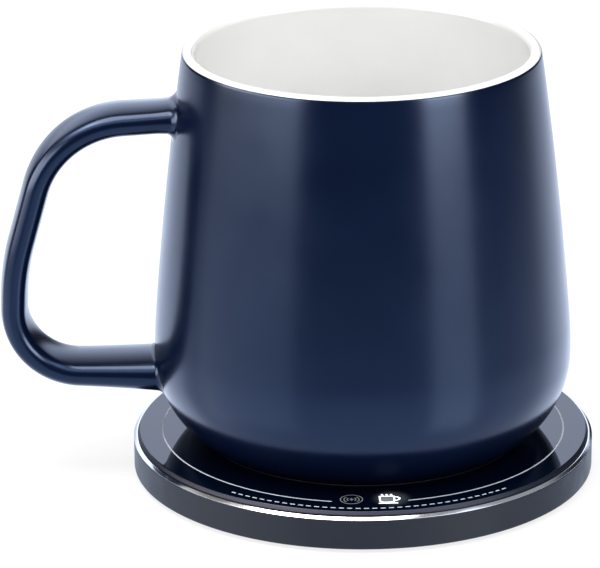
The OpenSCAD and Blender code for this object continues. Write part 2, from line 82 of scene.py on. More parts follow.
# Range of a noise that is spread, and the swell's scale beside the grain's.
NOISE_RANGE = (0.3, 0.7)
SWELL_SCALE = 0.12


def length(name, default, description):
    """Property for a length in metres."""
    return bpy.props.FloatProperty(
        name=name, description=description, default=default, min=0.0, precision=5,
        unit="LENGTH", subtype="DISTANCE")


def share(name, default, description):
    """Property for a share of a whole."""
    return bpy.props.FloatProperty(
        name=name, description=description, default=default, min=0.0, max=1.0, subtype="FACTOR")


def angle(name, degrees, description):
    """Property for an angle."""
    return bpy.props.FloatProperty(
        name=name, description=description, default=math.radians(degrees), subtype="ANGLE")


def colour(name, default, description):
    """Property for a colour."""
    return bpy.props.FloatVectorProperty(
        name=name, description=description, default=default, size=3, min=0.0, max=1.0,
        subtype="COLOR")


class MugSizes(bpy.types.PropertyGroup):
    """Sizes of the mug's body; heights are above its foot."""

    foot_level: length("Foot level", 0.0093, "Height of the mug's foot above the table")
    height: length("Height", 0.090, "From the foot to the top of the rim")
    rim: length("Rim", 0.080, "Outer diameter of the rim")
    belly: length("Belly", 0.095, "Largest outer diameter")
    foot: length("Foot", 0.073, "Outer diameter of the foot")
    corner: length("Corner", 0.0225, "Radius between belly and foot")
    side: length("Side", 1.0, "Radius of the slight swell of the side")
    ease: length("Ease", 0.080, "Radius that eases the side into the corner")
    ease_in: length("Ease in", 0.00025, "How far the corner moves in to make room for the ease")
    wall: length("Wall", 0.0036, "Thickness of the wall")
    lip: length("Lip", 0.0028, "Thickness at the rim, which rounds over it")
    lip_run: share("Lip run", 0.35, "Part of the inner side over which the lip gains the wall's thickness")
    floor: length("Floor", 0.007, "Height of the drinking floor")
    inside: length("Inside corner", 0.014, "Radius between the inner wall and the floor")
    foot_ring: length("Foot ring", 0.005, "Width of the ring that the mug stands on")
    foot_edge: length("Foot edge", 0.0006, "Rounding of the foot ring's edges")
    recess: length("Recess", 0.0024, "Depth of the hollow in the foot")
    white_edge: length("White edge", 0.00065, "How far the white glaze runs down outside")
    seal_edge: length("Seal edge", 0.0004, "Rounding of the cast seal's edge")


class HandleSizes(bpy.types.PropertyGroup):
    """Sizes of the handle; heights are above the mug's foot."""

    drop: length("Drop", 0.0148, "From the top of the rim down to the upper root")
    low: length("Low", 0.0148, "Height of the lower root")
    reach: length("Reach", 0.0320, "From the belly out to the middle line at the heel")
    shoulder_fall: length("Shoulder fall", 0.0014, "Shoulder corner below the upper root")
    shoulder_in: length("Shoulder in", 0.0108, "Shoulder corner in from the heel")
    waist_share: share("Waist share", 0.42, "Turn in the grip, from heel to shoulder corner")
    waist_in: length("Waist in", 0.0012, "Turn in the grip, in from the heel")
    waist_ease: share("Waist ease", 0.7, "Straight grip below the turn that goes into its bend")
    heel_rise: length("Heel rise", 0.0016, "Heel corner above the lower root")
    shoulder_bend: length("Shoulder bend", 0.0215, "Bend radius at the shoulder")
    heel_bend: length("Heel bend", 0.0150, "Bend radius at the heel")
    width: length("Width", 0.0154, "Width across the grip")
    narrow: length("Narrow", 0.0018, "How much narrower the band is at the upper root")
    narrow_run: length("Narrow run", 0.024, "Length over which the band gains its width")
    thickness: length("Thickness", 0.0062, "Thickness of the band in its middle")
    crown: angle("Crown", 10, "Slope of the band's crowned faces where its edges start")
    sunk: length("Sunk", 0.0018, "How far the roots run into the wall")
    upper_flare: length("Upper flare", 0.0004, "Growth of the upper root at the wall")
    upper_run: length("Upper run", 0.0050, "Length of the upper root's growth")
    upper_fillet: length("Upper fillet", 0.0018, "Hollow rounding between the upper root and wall")
    lower_flare: length("Lower flare", 0.0010, "Growth of the lower root at the wall")
    lower_run: length("Lower run", 0.0270, "Length of the lower root's growth")
    lower_fillet: length("Lower fillet", 0.0012, "Hollow rounding between the lower root and wall")


class PadSizes(bpy.types.PropertyGroup):
    """Sizes of the warming pad; heights are above the table."""

    width: length("Width", 0.105, "Outer diameter of the housing")
    base_level: length("Base level", 0.0008, "Underside of the housing")
    inside_level: length("Inside level", 0.0020, "Upper face of the base cover")
    lip_level: length("Lip level", 0.0076, "Top of the housing's lip")
    ledge_level: length("Ledge level", 0.0065, "Ledge that carries the trim ring")
    ledge: length("Ledge", 0.0010, "Thickness of that ledge")
    ledge_width: length("Ledge width", 0.0018, "Width of that ledge")
    wall: length("Wall", 0.0022, "Thickness of the housing's wall")
    lip: length("Lip", 0.0005, "Thickness of the lip outside the trim ring")
    base_edge: length("Base edge", 0.0005, "Rounding of the housing's lower edge")
    cover_width: length("Cover width", 0.1016, "Diameter of the base cover")
    trim_level: length("Trim level", 0.0083, "Top of the trim ring")
    chamfer: length("Chamfer", 0.0006, "Width of the trim ring's chamfer")
    chamfer_fall: length("Chamfer fall", 0.00052, "Height of the trim ring's chamfer")
    seam: length("Seam", 0.0001, "Seam between housing and trim ring")
    trim_web: length("Trim web", 0.0003, "Thickness of the trim ring at the glass")
    seal_level: length("Seal level", 0.0071, "Upper face of the trim ring's flange")
    flange: length("Flange", 0.0020, "Width of the trim ring's flange")
    glass_width: length("Glass width", 0.103, "Diameter of the glass")
    glass_level: length("Glass level", 0.0073, "Underside of the glass")
    top_level: length("Top level", 0.0093, "Upper face of the glass")
    bevel: length("Bevel", 0.0005, "Width of the bevel round the glass")
    bevel_fall: length("Bevel fall", 0.0007, "Height of the bevel round the glass")
    boss_circle: length("Boss circle", 0.045, "Distance of feet and bosses from the middle")
    boss: length("Boss", 0.0064, "Diameter of a screw boss")
    foot: length("Foot", 0.010, "Diameter of a rubber foot")
    foot_sunk: length("Foot sunk", 0.0006, "Depth of a foot's pocket")
    groove: length("Groove", 0.00015, "Depth of the ring in a foot's sole")
    soft: length("Soft edge", 0.00012, "Rounding of the edges of glass and housing")
    trim_soft: length("Soft trim", 0.00006, "Rounding of the trim ring's edges")
    cover_soft: length("Soft cover", 0.0002, "Rounding of the base cover's edge")
    ground_edge: length("Ground edge", 0.0001, "Height over which the bevel turns satin")
    ground_rough: share("Ground roughness", 0.4, "Roughness that the bevel gains")


class MarkSizes(bpy.types.PropertyGroup):
    """Sizes of the marks on the glass."""

    height: length("Height", 0.00002, "Thickness of a mark")
    ring: length("Ring", 0.0459, "Radius of the ring that shows where the mug goes")
    ring_line: length("Ring line", 0.00034, "Width of that ring's line")
    ring_gap: angle("Ring gap", 10.5, "Half of the ring's gap at the front")
    dash_ring: length("Dash ring", 0.0493, "Radius of the row of dashes")
    dash: length("Dash", 0.0011, "Length of a dash")
    dash_line: length("Dash line", 0.00034, "Width of a dash")
    dash_reach: angle("Dash reach", 37, "Half of the angle that the dashes take up")
    dashes: bpy.props.IntProperty(
        name="Dashes", description="Number of dashes", default=36, min=1)
    sign_x: length("Sign offset", 0.004, "Distance of a sign from the middle line")
    sign_y: length("Sign distance", 0.0442, "Distance of the signs from the pad's middle")
    sign_line: length("Sign line", 0.00035, "Width of a sign's strokes")
    sign_unit: length("Sign unit", 0.0009, "Length of a unit of the signs' drawings")
    fill_line: length("Fill line", 0.0028, "Width of the dim fill of the cup")
    sign_power: bpy.props.FloatProperty(
        name="Sign power", description="Strength of the lit sign", default=1.1, min=0.0)
    glow_start: length("Glow start", 0.0012, "Distance from the lit sign where its glow fades")
    glow_end: length("Glow end", 0.0052, "Distance from the lit sign where its glow ends")
    turn: angle("Turn", 1.05, "Turn of all the marks about the pad's middle, clockwise from above")


class PortSizes(bpy.types.PropertyGroup):
    """Sizes of the power port at the back of the pad."""

    mouth: length("Mouth", 0.0519, "Distance of the shell's mouth from the pad's middle")
    level: length("Level", 0.00438, "Height of the port's middle")
    width: length("Width", 0.00894, "Width of the shell")
    height: length("Height", 0.00316, "Height of the shell")
    depth: length("Depth", 0.00735, "Length of the shell")
    skin: length("Skin", 0.0003, "Thickness of the shell's metal")
    fit: length("Fit", 0.00015, "Clearance between the shell and its hole")
    tongue_width: length("Tongue width", 0.0067, "Width of the contact tongue")
    tongue: length("Tongue", 0.0007, "Thickness of the contact tongue")
    tongue_in: length("Tongue in", 0.0007, "Tip of the tongue, in from the mouth")
    tongue_edge: length("Tongue edge", 0.00015, "Bevel of the tongue")
    block: length("Block", 0.0022, "Length of the moulded block behind the tongue")
    block_fit: length("Block fit", 0.00005, "Clearance between the block and the shell")
    contact: length("Contact", 0.00024, "Width of a contact")
    contact_pitch: length("Contact pitch", 0.0005, "Distance from contact to contact")
    contact_rise: length("Contact rise", 0.00004, "How far a contact stands out")
    contact_in: length("Contact in", 0.0006, "Tip of a contact, in from the tongue's tip")
    contacts: bpy.props.IntProperty(
        name="Contacts", description="Number of contacts on a face", default=12, min=1)


class Finishes(bpy.types.PropertyGroup):
    """Colours of the finishes."""

    navy: colour("Navy glaze", (0.0014, 0.0046, 0.0195), "Outside of the mug and handle")
    white: colour("White glaze", (0.82, 0.82, 0.81), "Inside and rim of the mug")
    bisque: colour("Bare clay", (0.62, 0.58, 0.52), "Unglazed foot ring")
    glass: colour("Black glass", (0.0005, 0.0018, 0.0062), "Top of the pad")
    trim: colour("Bright trim", (0.80, 0.81, 0.83), "Ring round the glass")
    charcoal: colour("Charcoal shell", (0.0104, 0.0136, 0.0215), "Housing of the pad")
    black: colour("Black plastic", (0.014, 0.014, 0.015), "Base cover and inner mouldings")
    rubber: colour("Grey rubber", (0.030, 0.030, 0.032), "Feet and glass seal")
    silicone: colour("Silicone", (0.22, 0.23, 0.25), "Cast seal under the mug")
    print: colour("White print", (0.46, 0.48, 0.52), "Ring and dashes")
    dim: colour("Dim print", (0.161, 0.168, 0.182), "Unlit sign")
    light: colour("Sign light", (0.92, 0.96, 1.00), "Lit sign")
    glow: colour("Glow", (0.050, 0.055, 0.062), "Light in the glass round the lit sign")
    steel: colour("Steel", (0.52, 0.53, 0.55), "Screws, plate and port shell")
    gold: colour("Contacts", (0.72, 0.52, 0.22), "Contacts of the power port")
    copper: colour("Copper wire", (0.62, 0.27, 0.11), "Coil and sensor")
    board: colour("Circuit board", (0.018, 0.110, 0.055), "Solder mask")
    ferrite: colour("Ferrite", (0.055, 0.053, 0.053), "Ferrite plate and inductor")
    mica: colour("Mica", (0.38, 0.29, 0.18), "Insulating sheet")
    frosted: colour("Frosted plastic", (0.80, 0.82, 0.84), "Diffusers and light sources")
    chip: colour("Chip black", (0.012, 0.012, 0.013), "Chip and transistors")
    tan: colour("Capacitor tan", (0.36, 0.25, 0.14), "Capacitors")
    floor: colour("Floor", (0.115, 0.115, 0.115), "Floor that takes the shadow")


class StageSettings(bpy.types.PropertyGroup):
    """Camera, floor and light of the stage."""

    eye: bpy.props.FloatVectorProperty(
        name="Eye", description="Place of the camera", default=(-0.04228, -0.80623, 0.33194),
        subtype="XYZ", unit="LENGTH")
    turn: angle("Turn", 2.0, "How far the camera looks off the pad's front, towards +X")
    tilt: angle("Tilt", 19.658, "How far the camera looks down")
    roll: angle("Roll", -0.487, "Turn of the camera about its own axis")
    lens: bpy.props.FloatProperty(
        name="Lens", description="Focal length on a 36 mm sensor, in millimetres", default=227.1,
        unit="CAMERA")
    floor_glow: share("Floor glow", 0.79, "Even light of the pale floor itself")
    floor_size: length("Floor size", 6.0, "Side of the floor")
    lamp_place: bpy.props.FloatVectorProperty(
        name="Lamp", description="Place of the overhead lamp", default=(-0.18, -0.12, 1.1),
        subtype="XYZ", unit="LENGTH")
    lamp_size: length("Lamp size", 0.8, "Diameter of the overhead lamp")
    lamp_power: bpy.props.FloatProperty(
        name="Lamp power", description="Power of the overhead lamp", default=15.5, min=0.0,
        unit="POWER")


def points_on_arc(centre, radius, start, end, steps):
    """Points on an arc in a plane, from one angle to another, in radians."""
    found = []
    for number in range(steps + 1):
        turn = start + (end - start) * number / steps
        found.append(Vector((centre.x + radius * math.cos(turn),
                             centre.y + radius * math.sin(turn))))
    return found


def bearing(vector):
    """Angle of a plane vector from +X."""
    return math.atan2(vector.y, vector.x)


def bend(before, corner, after, radius):
    """Centre, first and last point of the arc that rounds a corner between two runs."""
    back = (before - corner).normalized()
    on = (after - corner).normalized()
    half = back.angle(on) / 2
    centre = corner + (back + on).normalized() * (radius / math.sin(half))
    reach = radius / math.tan(half)
    return centre, corner + back * reach, corner + on * reach


def rounded_corner(before, corner, after, radius, steps, support=0.0):
    """Points that round a corner, with an extra point at the support's distance on each side."""
    centre, first, last = bend(before, corner, after, radius)
    start = bearing(first - centre)
    turn = bearing(last - centre) - start
    if turn > math.pi:
        turn -= FULL_TURN
    if turn < -math.pi:
        turn += FULL_TURN
    found = points_on_arc(centre, radius, start, start + turn, steps)
    if support:
        found.insert(0, first + (before - corner).normalized() * support)
        found.append(last + (after - corner).normalized() * support)
    return found


def outline(corners):
    """Points through corners: x and y, and for a rounded one its radius, steps and support."""
    places = [Vector(corner[:2]) for corner in corners]
    points = []
    for number, corner in enumerate(corners):
        if len(corner) == 2:
            points.append(places[number])
        else:
            points += rounded_corner(*places[number - 1:number + 2], *corner[2:])
    return points


def clear_selection():
    """Leaves edit mode and deselects everything."""
    if bpy.context.mode != "OBJECT":
        bpy.ops.object.mode_set(mode="OBJECT")
    bpy.ops.object.select_all(action="DESELECT")


def pick(piece):
    """Makes a piece the only selected and active one."""
    clear_selection()
    piece.select_set(True)
    bpy.context.view_layer.objects.active = piece


def name_piece(piece, name):
    """Names a piece and its mesh."""
    piece.name = name
    piece.data.name = name


def draw_chain(name, points, closed=False):
    """New piece in edit mode: selected edges through points, and back to the first if closed."""
    clear_selection()
    bpy.ops.mesh.primitive_plane_add(size=SEED, enter_editmode=True)
    piece = bpy.context.object
    name_piece(piece, name)
    bpy.ops.mesh.merge(type="CENTER")
    bpy.ops.transform.translate(value=points[0])
    for before, after in zip(points, points[1:]):
        bpy.ops.mesh.extrude_vertices_move(TRANSFORM_OT_translate={"value": after - before})
    if closed:
        bpy.ops.mesh.select_all(action="DESELECT")
        bpy.ops.object.mode_set(mode="OBJECT")
        piece.data.vertices[0].select = True
        piece.data.vertices[-1].select = True
        bpy.ops.object.mode_set(mode="EDIT")
        bpy.ops.mesh.edge_face_add()
    bpy.ops.mesh.select_all(action="SELECT")
    return piece


def draw_out(move):
    """Draws the selected edges on."""
    bpy.ops.mesh.extrude_edges_move(TRANSFORM_OT_translate={"value": move})


def cap_ends():
    """Fills the open ends of the edited tube."""
    bpy.ops.mesh.select_all(action="DESELECT")
    bpy.ops.mesh.select_non_manifold()
    bpy.ops.mesh.fill_holes(sides=0)


def tidy_mesh(smooth=32):
    """Merges doubles of the active piece, turns its faces out and smooths it up to an angle."""
    bpy.ops.object.mode_set(mode="EDIT")
    bpy.ops.mesh.select_all(action="SELECT")
    bpy.ops.mesh.remove_doubles(threshold=MERGE)
    bpy.ops.mesh.normals_make_consistent(inside=False)
    bpy.ops.object.mode_set(mode="OBJECT")
    bpy.ops.object.shade_smooth_by_angle(angle=math.radians(smooth))


def shift(move):
    """Moves the mesh of the active piece."""
    bpy.ops.object.mode_set(mode="EDIT")
    bpy.ops.mesh.select_all(action="SELECT")
    bpy.ops.transform.translate(value=move)
    bpy.ops.object.mode_set(mode="OBJECT")


def lathe(name, corners, steps=192, closed=False):
    """Piece turned about Z from corners of radius and height."""
    piece = draw_chain(name, [Vector((p.x, 0.0, p.y)) for p in outline(corners)], closed)
    bpy.ops.mesh.spin(steps=steps, angle=FULL_TURN, center=ORIGIN, axis=UP)
    tidy_mesh()
    return piece


def apply_modifier(piece, kind, **settings):
    """Adds a modifier with its settings and applies it."""
    pick(piece)
    bpy.ops.object.modifier_add(type=kind)
    modifier = piece.modifiers[-1]
    for key, value in settings.items():
        setattr(modifier, key, value)
    bpy.ops.object.modifier_apply(modifier=modifier.name)


def discard(piece):
    """Deletes a piece and its mesh."""
    mesh = piece.data
    bpy.data.objects.remove(piece)
    bpy.data.meshes.remove(mesh)


def cut(piece, tool, operation="DIFFERENCE"):
    """Cuts a piece with a tool, or joins them, and deletes the tool."""
    apply_modifier(piece, "BOOLEAN", operation=operation, object=tool, solver="EXACT")
    discard(tool)


def copy_piece(piece, name, move):
    """Copy with its own mesh, moved."""
    pick(piece)
    bpy.ops.object.duplicate(linked=False)
    twin = bpy.context.object
    name_piece(twin, name)
    shift(move)
    return twin


def join(pieces, name):
    """Joins pieces into one."""
    pick(pieces[0])
    for piece in pieces[1:]:
        piece.select_set(True)
    bpy.ops.object.join()
    name_piece(bpy.context.object, name)
    return bpy.context.object


def seat(piece, body, look, nodes=()):
    """Puts a finish on a piece, rides it on a body and stands it for solids."""
    piece.data.materials.clear()
    piece.data.materials.append(finish(look))
    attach(piece, body)
    if nodes:
        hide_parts(*nodes)


def feed(tree, value, socket):
    """Links an output to a socket, or sets the socket to a constant."""
    if isinstance(value, bpy.types.NodeSocket):
        tree.links.new(value, socket)
    else:
        socket.default_value = value


def add_node(tree, kind, inputs=None, **settings):
    """New shader node with its settings, fed from outputs and constants; gives its outputs."""
    node = tree.nodes.new("ShaderNode" + kind)
    for key, value in settings.items():
        setattr(node, key, value)
    for key, value in (inputs or {}).items():
        feed(tree, value, node.inputs[key])
    return node.outputs


def new_group(name, inputs, output):
    """Empty node group: its tree, what its inputs give and the socket of its one output."""
    tree = bpy.data.node_groups.new(name, "ShaderNodeTree")
    for label, default in inputs.items():
        kind = "NodeSocketColor" if isinstance(default, tuple) else "NodeSocketFloat"
        tree.interface.new_socket(label, in_out="INPUT", socket_type=kind).default_value = default
    kind = "NodeSocketColor" if output == "Color" else "NodeSocketFloat"
    tree.interface.new_socket(output, in_out="OUTPUT", socket_type=kind)
    given = tree.nodes.new("NodeGroupInput").outputs
    return tree, given, tree.nodes.new("NodeGroupOutput").inputs[output]


def noise_on_piece(tree, scale, detail):
    """Noise on the piece's own coordinates."""
    place = add_node(tree, "TexCoord")["Object"]
    return add_node(tree, "TexNoise", {"Vector": place, "Scale": scale, "Detail": detail})["Fac"]


def wander(tree, scale, detail, limits=None):
    """Noise on the piece, spread over its limits, or else from 0 to 1."""
    low, high = NOISE_RANGE
    inputs = {"Value": noise_on_piece(tree, scale, detail), "From Min": low, "From Max": high}
    inputs.update(limits or {})
    return add_node(tree, "MapRange", inputs)["Result"]


def value_drift(name):
    """Group: a value that wanders between Low and High over the surface."""
    tree, given, result = new_group(name, {"Scale": 100.0, "Low": 0.0, "High": 1.0}, "Value")
    limits = {"To Min": given["Low"], "To Max": given["High"]}
    feed(tree, wander(tree, given["Scale"], 3.0, limits), result)


def tone_drift(name):
    """Group: a colour that wanders between two tones over the surface."""
    inputs = {"Scale": 100.0, "Tone": (0.5, 0.5, 0.5, 1.0), "Deep tone": (0.4, 0.4, 0.4, 1.0)}
    tree, given, result = new_group(name, inputs, "Color")
    tones = {"Factor": wander(tree, given["Scale"], 4.0), "A": given["Deep tone"], "B": given["Tone"]}
    feed(tree, add_node(tree, "Mix", tones, data_type="RGBA")["Result"], result)


def fine_grain(name):
    """Group: the height of a fine grain with a slower swell under it."""
    tree, given, result = new_group(name, {"Scale": 1000.0, "Swell": 0.5}, "Height")
    scales = {0: given["Scale"], 1: SWELL_SCALE}
    slower = add_node(tree, "Math", scales, operation="MULTIPLY")["Value"]
    heights = {"Factor": given["Swell"], "A": noise_on_piece(tree, given["Scale"], 2.0),
               "B": noise_on_piece(tree, slower, 1.0)}
    feed(tree, add_node(tree, "Mix", heights)["Result"], result)


GROUPS = {"Value drift": value_drift, "Tone drift": tone_drift, "Fine grain": fine_grain}


def place_group(tree, name, inputs):
    """Places a group in a material, with its own values; the group is built at its first use."""
    if name not in bpy.data.node_groups:
        GROUPS[name](name)
    return add_node(tree, "Group", inputs, node_tree=bpy.data.node_groups[name])


def drifting_tone(tree, tone, depth, scale):
    """Colour that wanders between a tone and a deeper one."""
    deep = [part * depth for part in tone]
    tones = {"Scale": scale, "Tone": (*tone, 1.0), "Deep tone": (*deep, 1.0)}
    return place_group(tree, "Tone drift", tones)["Color"]


def colours():
    """The colours that are set."""
    return bpy.context.scene.mug_finishes


# Each look has its colour and the share of it in the deeper tone, the scale of that drift, the
# limits of its roughness and their scale, and a grain with its swell, strength and depth.
Look = namedtuple("Look", "colour depth tone_scale rough rough_scale grain swell relief relief_depth")
LOOKS = {
    "Navy glaze": Look("navy", 0.86, 45, (0.19, 0.23), 90, 700, 0.7, 0.05, 0.0002),
    "White glaze": Look("white", 0.96, 40, (0.10, 0.16), 80, 600, 0.7, 0.04, 0.0002),
    "Bare clay": Look("bisque", 0.8, 900, (0.75, 0.9), 600, 4000, 0.3, 0.5, 0.00006),
    "Black plastic": Look("black", 0.8, 300, (0.5, 0.62), 400, 5000, 0.3, 0.35, 0.00004),
    "Charcoal shell": Look("charcoal", 0.9, 150, (0.42, 0.50), 250, 6000, 0.25, 0.25, 0.00003),
    "Grey rubber": Look("rubber", 0.8, 500, (0.7, 0.85), 500, 5000, 0.4, 0.4, 0.00005),
    "Cast silicone": Look("silicone", 0.88, 120, (0.35, 0.5), 150, 900, 0.8, 0.15, 0.0001),
    "Bright trim": Look("trim", 0.94, 200, (0.08, 0.14), 300, 2500, 0.5, 0.02, 0.00003),
    "Plain steel": Look("steel", 0.85, 300, (0.22, 0.34), 800, 3000, 0.2, 0.1, 0.00003),
    "Black glass": Look("glass", 0.8, 30, (0.03, 0.06), 70, 300, 0.8, 0.004, 0.0001),
    "White print": Look("print", 0.88, 1500, (0.4, 0.55), 1500, 6000, 0.3, 0.1, 0.00001),
    "Dim print": Look("dim", 0.88, 1500, (0.4, 0.55), 1500, 6000, 0.3, 0.1, 0.00001),
    "Lit sign": Look("light", 0.9, 900, (0.3, 0.4), 120, 1500, 0.5, 0.02, 0.00001),
    "Gold contact": Look("gold", 0.85, 900, (0.18, 0.3), 900, 1500, 0.5, 0.05, 0.00001),
    "Copper wire": Look("copper", 0.8, 400, (0.2, 0.32), 700, 3000, 0.5, 0.1, 0.00003),
    "Circuit board": Look("board", 0.75, 260, (0.22, 0.34), 300, 2500, 0.5, 0.1, 0.00003),
    "Ferrite": Look("ferrite", 0.75, 700, (0.6, 0.8), 600, 4000, 0.5, 0.3, 0.00005),
    "Mica": Look("mica", 0.7, 350, (0.4, 0.6), 300, 2000, 0.5, 0.2, 0.00005),
    "Frosted plastic": Look("frosted", 0.93, 500, (0.5, 0.65), 500, 4000, 0.5, 0.2, 0.00003),
    "Chip black": Look("chip", 0.8, 800, (0.45, 0.6), 900, 5000, 0.5, 0.3, 0.00003),
    "Capacitor tan": Look("tan", 0.85, 700, (0.3, 0.45), 700, 3000, 0.5, 0.1, 0.00003),
    "Pale floor": Look("floor", 0.985, 8, (0.8, 0.9), 20, 1500, 0.5, 0.0, 0.0001),
}
METALS = ("Bright trim", "Plain steel", "Gold contact", "Copper wire")
SHEENS = {
    "Navy glaze": {"IOR": 1.55, "Specular Tint": (0.47, 0.65, 1.0, 1.0)},
    "White glaze": {"IOR": 1.5},
    "Charcoal shell": {"Specular IOR Level": 0.25},
    "Black glass": {"IOR": 1.52, "Specular Tint": (0.78, 0.82, 1.0, 1.0)},
}


def glass_extras(tree, shader):
    """Ground bevel of the black glass, and the glow that leaks round the lit sign."""
    marks = bpy.context.scene.mug_marks
    pad = bpy.context.scene.mug_pad
    place = add_node(tree, "TexCoord")["Object"]
    height = add_node(tree, "SeparateXYZ", {"Vector": place})["Z"]
    ground = add_node(tree, "MapRange", {
        "Value": height, "From Min": pad.top_level - pad.ground_edge / 2,
        "From Max": pad.top_level - pad.ground_edge * 1.5, "To Max": pad.ground_rough})["Result"]
    polished = shader.inputs["Roughness"].links[0].from_socket
    rough = add_node(tree, "Math", {0: ground, 1: polished}, operation="ADD")["Value"]
    feed(tree, rough, shader.inputs["Roughness"])
    centred = add_node(tree, "Mapping", {
        "Vector": place, "Location": (-marks.sign_x, marks.sign_y, 0.0)})["Vector"]
    flat = add_node(tree, "VectorMath", {0: centred, 1: (1.0, 1.0, 0.0)}, operation="MULTIPLY")["Vector"]
    away = add_node(tree, "VectorMath", {0: flat}, operation="LENGTH")["Value"]
    fade = add_node(tree, "MapRange", {
        "Value": away, "From Min": marks.glow_end, "From Max": marks.glow_start},
        interpolation_type="SMOOTHERSTEP")["Result"]
    glow = add_node(tree, "Mix", {
        "Factor": fade, "A": (0.0, 0.0, 0.0, 1.0), "B": (*colours().glow, 1.0)},
        data_type="RGBA")["Result"]
    feed(tree, glow, shader.inputs["Emission Color"])
    shader.inputs["Emission Strength"].default_value = 1.0


def sign_extras(tree, shader):
    """Light that shines through the clear window in the print."""
    glow = drifting_tone(tree, colours().light, depth=0.82, scale=600)
    feed(tree, glow, shader.inputs["Emission Color"])
    shader.inputs["Emission Strength"].default_value = bpy.context.scene.mug_marks.sign_power


def floor_extras(tree, shader):
    """Even light of the pale floor."""
    shader.inputs["Emission Color"].default_value = (1.0, 1.0, 1.0, 1.0)
    shader.inputs["Emission Strength"].default_value = bpy.context.scene.mug_stage.floor_glow


EXTRAS = {"Black glass": glass_extras, "Lit sign": sign_extras, "Pale floor": floor_extras}


def finish(name):
    """Material with drifting tone and roughness and a fine relief, built at its first use."""
    if name in bpy.data.materials:
        return bpy.data.materials[name]
    look = LOOKS[name]
    material = bpy.data.materials.new(name)
    material.use_nodes = True
    tree = material.node_tree
    shader = tree.nodes["Principled BSDF"]
    tone = drifting_tone(tree, getattr(colours(), look.colour), look.depth, look.tone_scale)
    gloss = {"Scale": look.rough_scale, "Low": look.rough[0], "High": look.rough[1]}
    grain = place_group(tree, "Fine grain", {"Scale": look.grain, "Swell": look.swell})["Height"]
    bump = add_node(tree, "Bump", {
        "Height": grain, "Strength": look.relief, "Distance": look.relief_depth})["Normal"]
    feed(tree, tone, shader.inputs["Base Color"])
    feed(tree, place_group(tree, "Value drift", gloss)["Value"], shader.inputs["Roughness"])
    feed(tree, bump, shader.inputs["Normal"])
    if name in METALS:
        shader.inputs["Metallic"].default_value = 1.0
    for label, value in SHEENS.get(name, {}).items():
        shader.inputs[label].default_value = value
    if name in EXTRAS:
        EXTRAS[name](tree, shader)
    return material


def mug_arcs(mug):
    """Centres of the arcs of the mug's outline: rim, side, ease, corner and inner corner."""
    rim = Vector(((mug.rim - mug.lip) / 2, mug.height - mug.lip / 2))
    corner_x = mug.belly / 2 - mug.corner
    corner = Vector((corner_x, math.sqrt(mug.corner ** 2 - (mug.foot / 2 - corner_x) ** 2)))
    side = far_centre(rim, mug.side - mug.lip / 2, corner, mug.side - mug.corner)
    corner.x -= mug.ease_in
    corner.y = math.sqrt(mug.corner ** 2 - (mug.foot / 2 - corner.x) ** 2)
    ease = far_centre(corner, mug.ease - mug.corner, side, mug.side - mug.ease)
    inner_level = mug.floor + mug.inside
    inner_reach = mug.side - mug.wall - mug.inside
    inner_x = side.x + math.sqrt(inner_reach ** 2 - (inner_level - side.y) ** 2)
    return rim, side, ease, corner, Vector((inner_x, inner_level))


def far_centre(a, reach_a, b, reach_b):
    """Centre at two given distances from two points, on their -X side."""
    apart = (b - a).length
    along = (b - a) / apart
    part = (reach_a ** 2 - reach_b ** 2 + apart ** 2) / (2 * apart)
    off = math.sqrt(reach_a ** 2 - part ** 2)
    return a + along * part + Vector((along.y, -along.x)) * off


def outer_radius(mug, level):
    """Outer radius of the mug at a height above its foot."""
    _, side, ease, corner, _ = mug_arcs(mug)
    centre, reach = side, mug.side
    if level < ease.y + mug.ease * math.sin(bearing(ease - side)):
        centre, reach = ease, mug.ease
    if level < corner.y + mug.corner * math.sin(bearing(corner - ease)):
        centre, reach = corner, mug.corner
    return centre.x + math.sqrt(max(0.0, reach ** 2 - (level - centre.y) ** 2))


def mug_outline(mug):
    """The mug's half section as radius and height, from the hollow in its foot to its floor."""
    rim, side, ease, corner, inner = mug_arcs(mug)
    foot_angle = bearing(Vector((mug.foot / 2, 0.0)) - corner)
    corner_angle = bearing(corner - ease)
    ease_angle = bearing(ease - side)
    rim_angle = bearing(rim - side)
    inner_angle = bearing(inner - side)
    recess_x = mug.foot / 2 - mug.foot_ring
    edge = mug.foot_edge
    half_lip = mug.lip / 2
    top = math.asin(1 - mug.white_edge / half_lip)
    points = [(0.0, mug.recess), (recess_x, mug.recess), (recess_x, 0.0, edge, 4, edge / 2),
              (mug.foot / 2, 0.0, edge / 2, 3, edge / 4)]
    for arc in ((corner, mug.corner, foot_angle, corner_angle, 26),
                (ease, mug.ease, corner_angle, ease_angle, 12),
                (side, mug.side, ease_angle, rim_angle, 30),
                (rim, half_lip, rim_angle, top, 5),
                (rim, half_lip, top, rim_angle + math.pi, 18)):
        points += points_on_arc(*arc)[1:]
    inner_side = points_on_arc(side, mug.side - mug.wall, rim_angle, inner_angle, 40)[1:]
    for number, point in enumerate(inner_side, start=1):
        thin = max(0.0, 1 - number / len(inner_side) / mug.lip_run) ** 2
        outward = (point - side).normalized()
        points.append(point + outward * thin * (mug.wall - mug.lip))
    points += points_on_arc(inner, mug.inside, inner_angle, -QUARTER_TURN, 22)[1:]
    points += [(inner.x / 2, mug.floor), (0.0, mug.floor)]
    return outline(points)


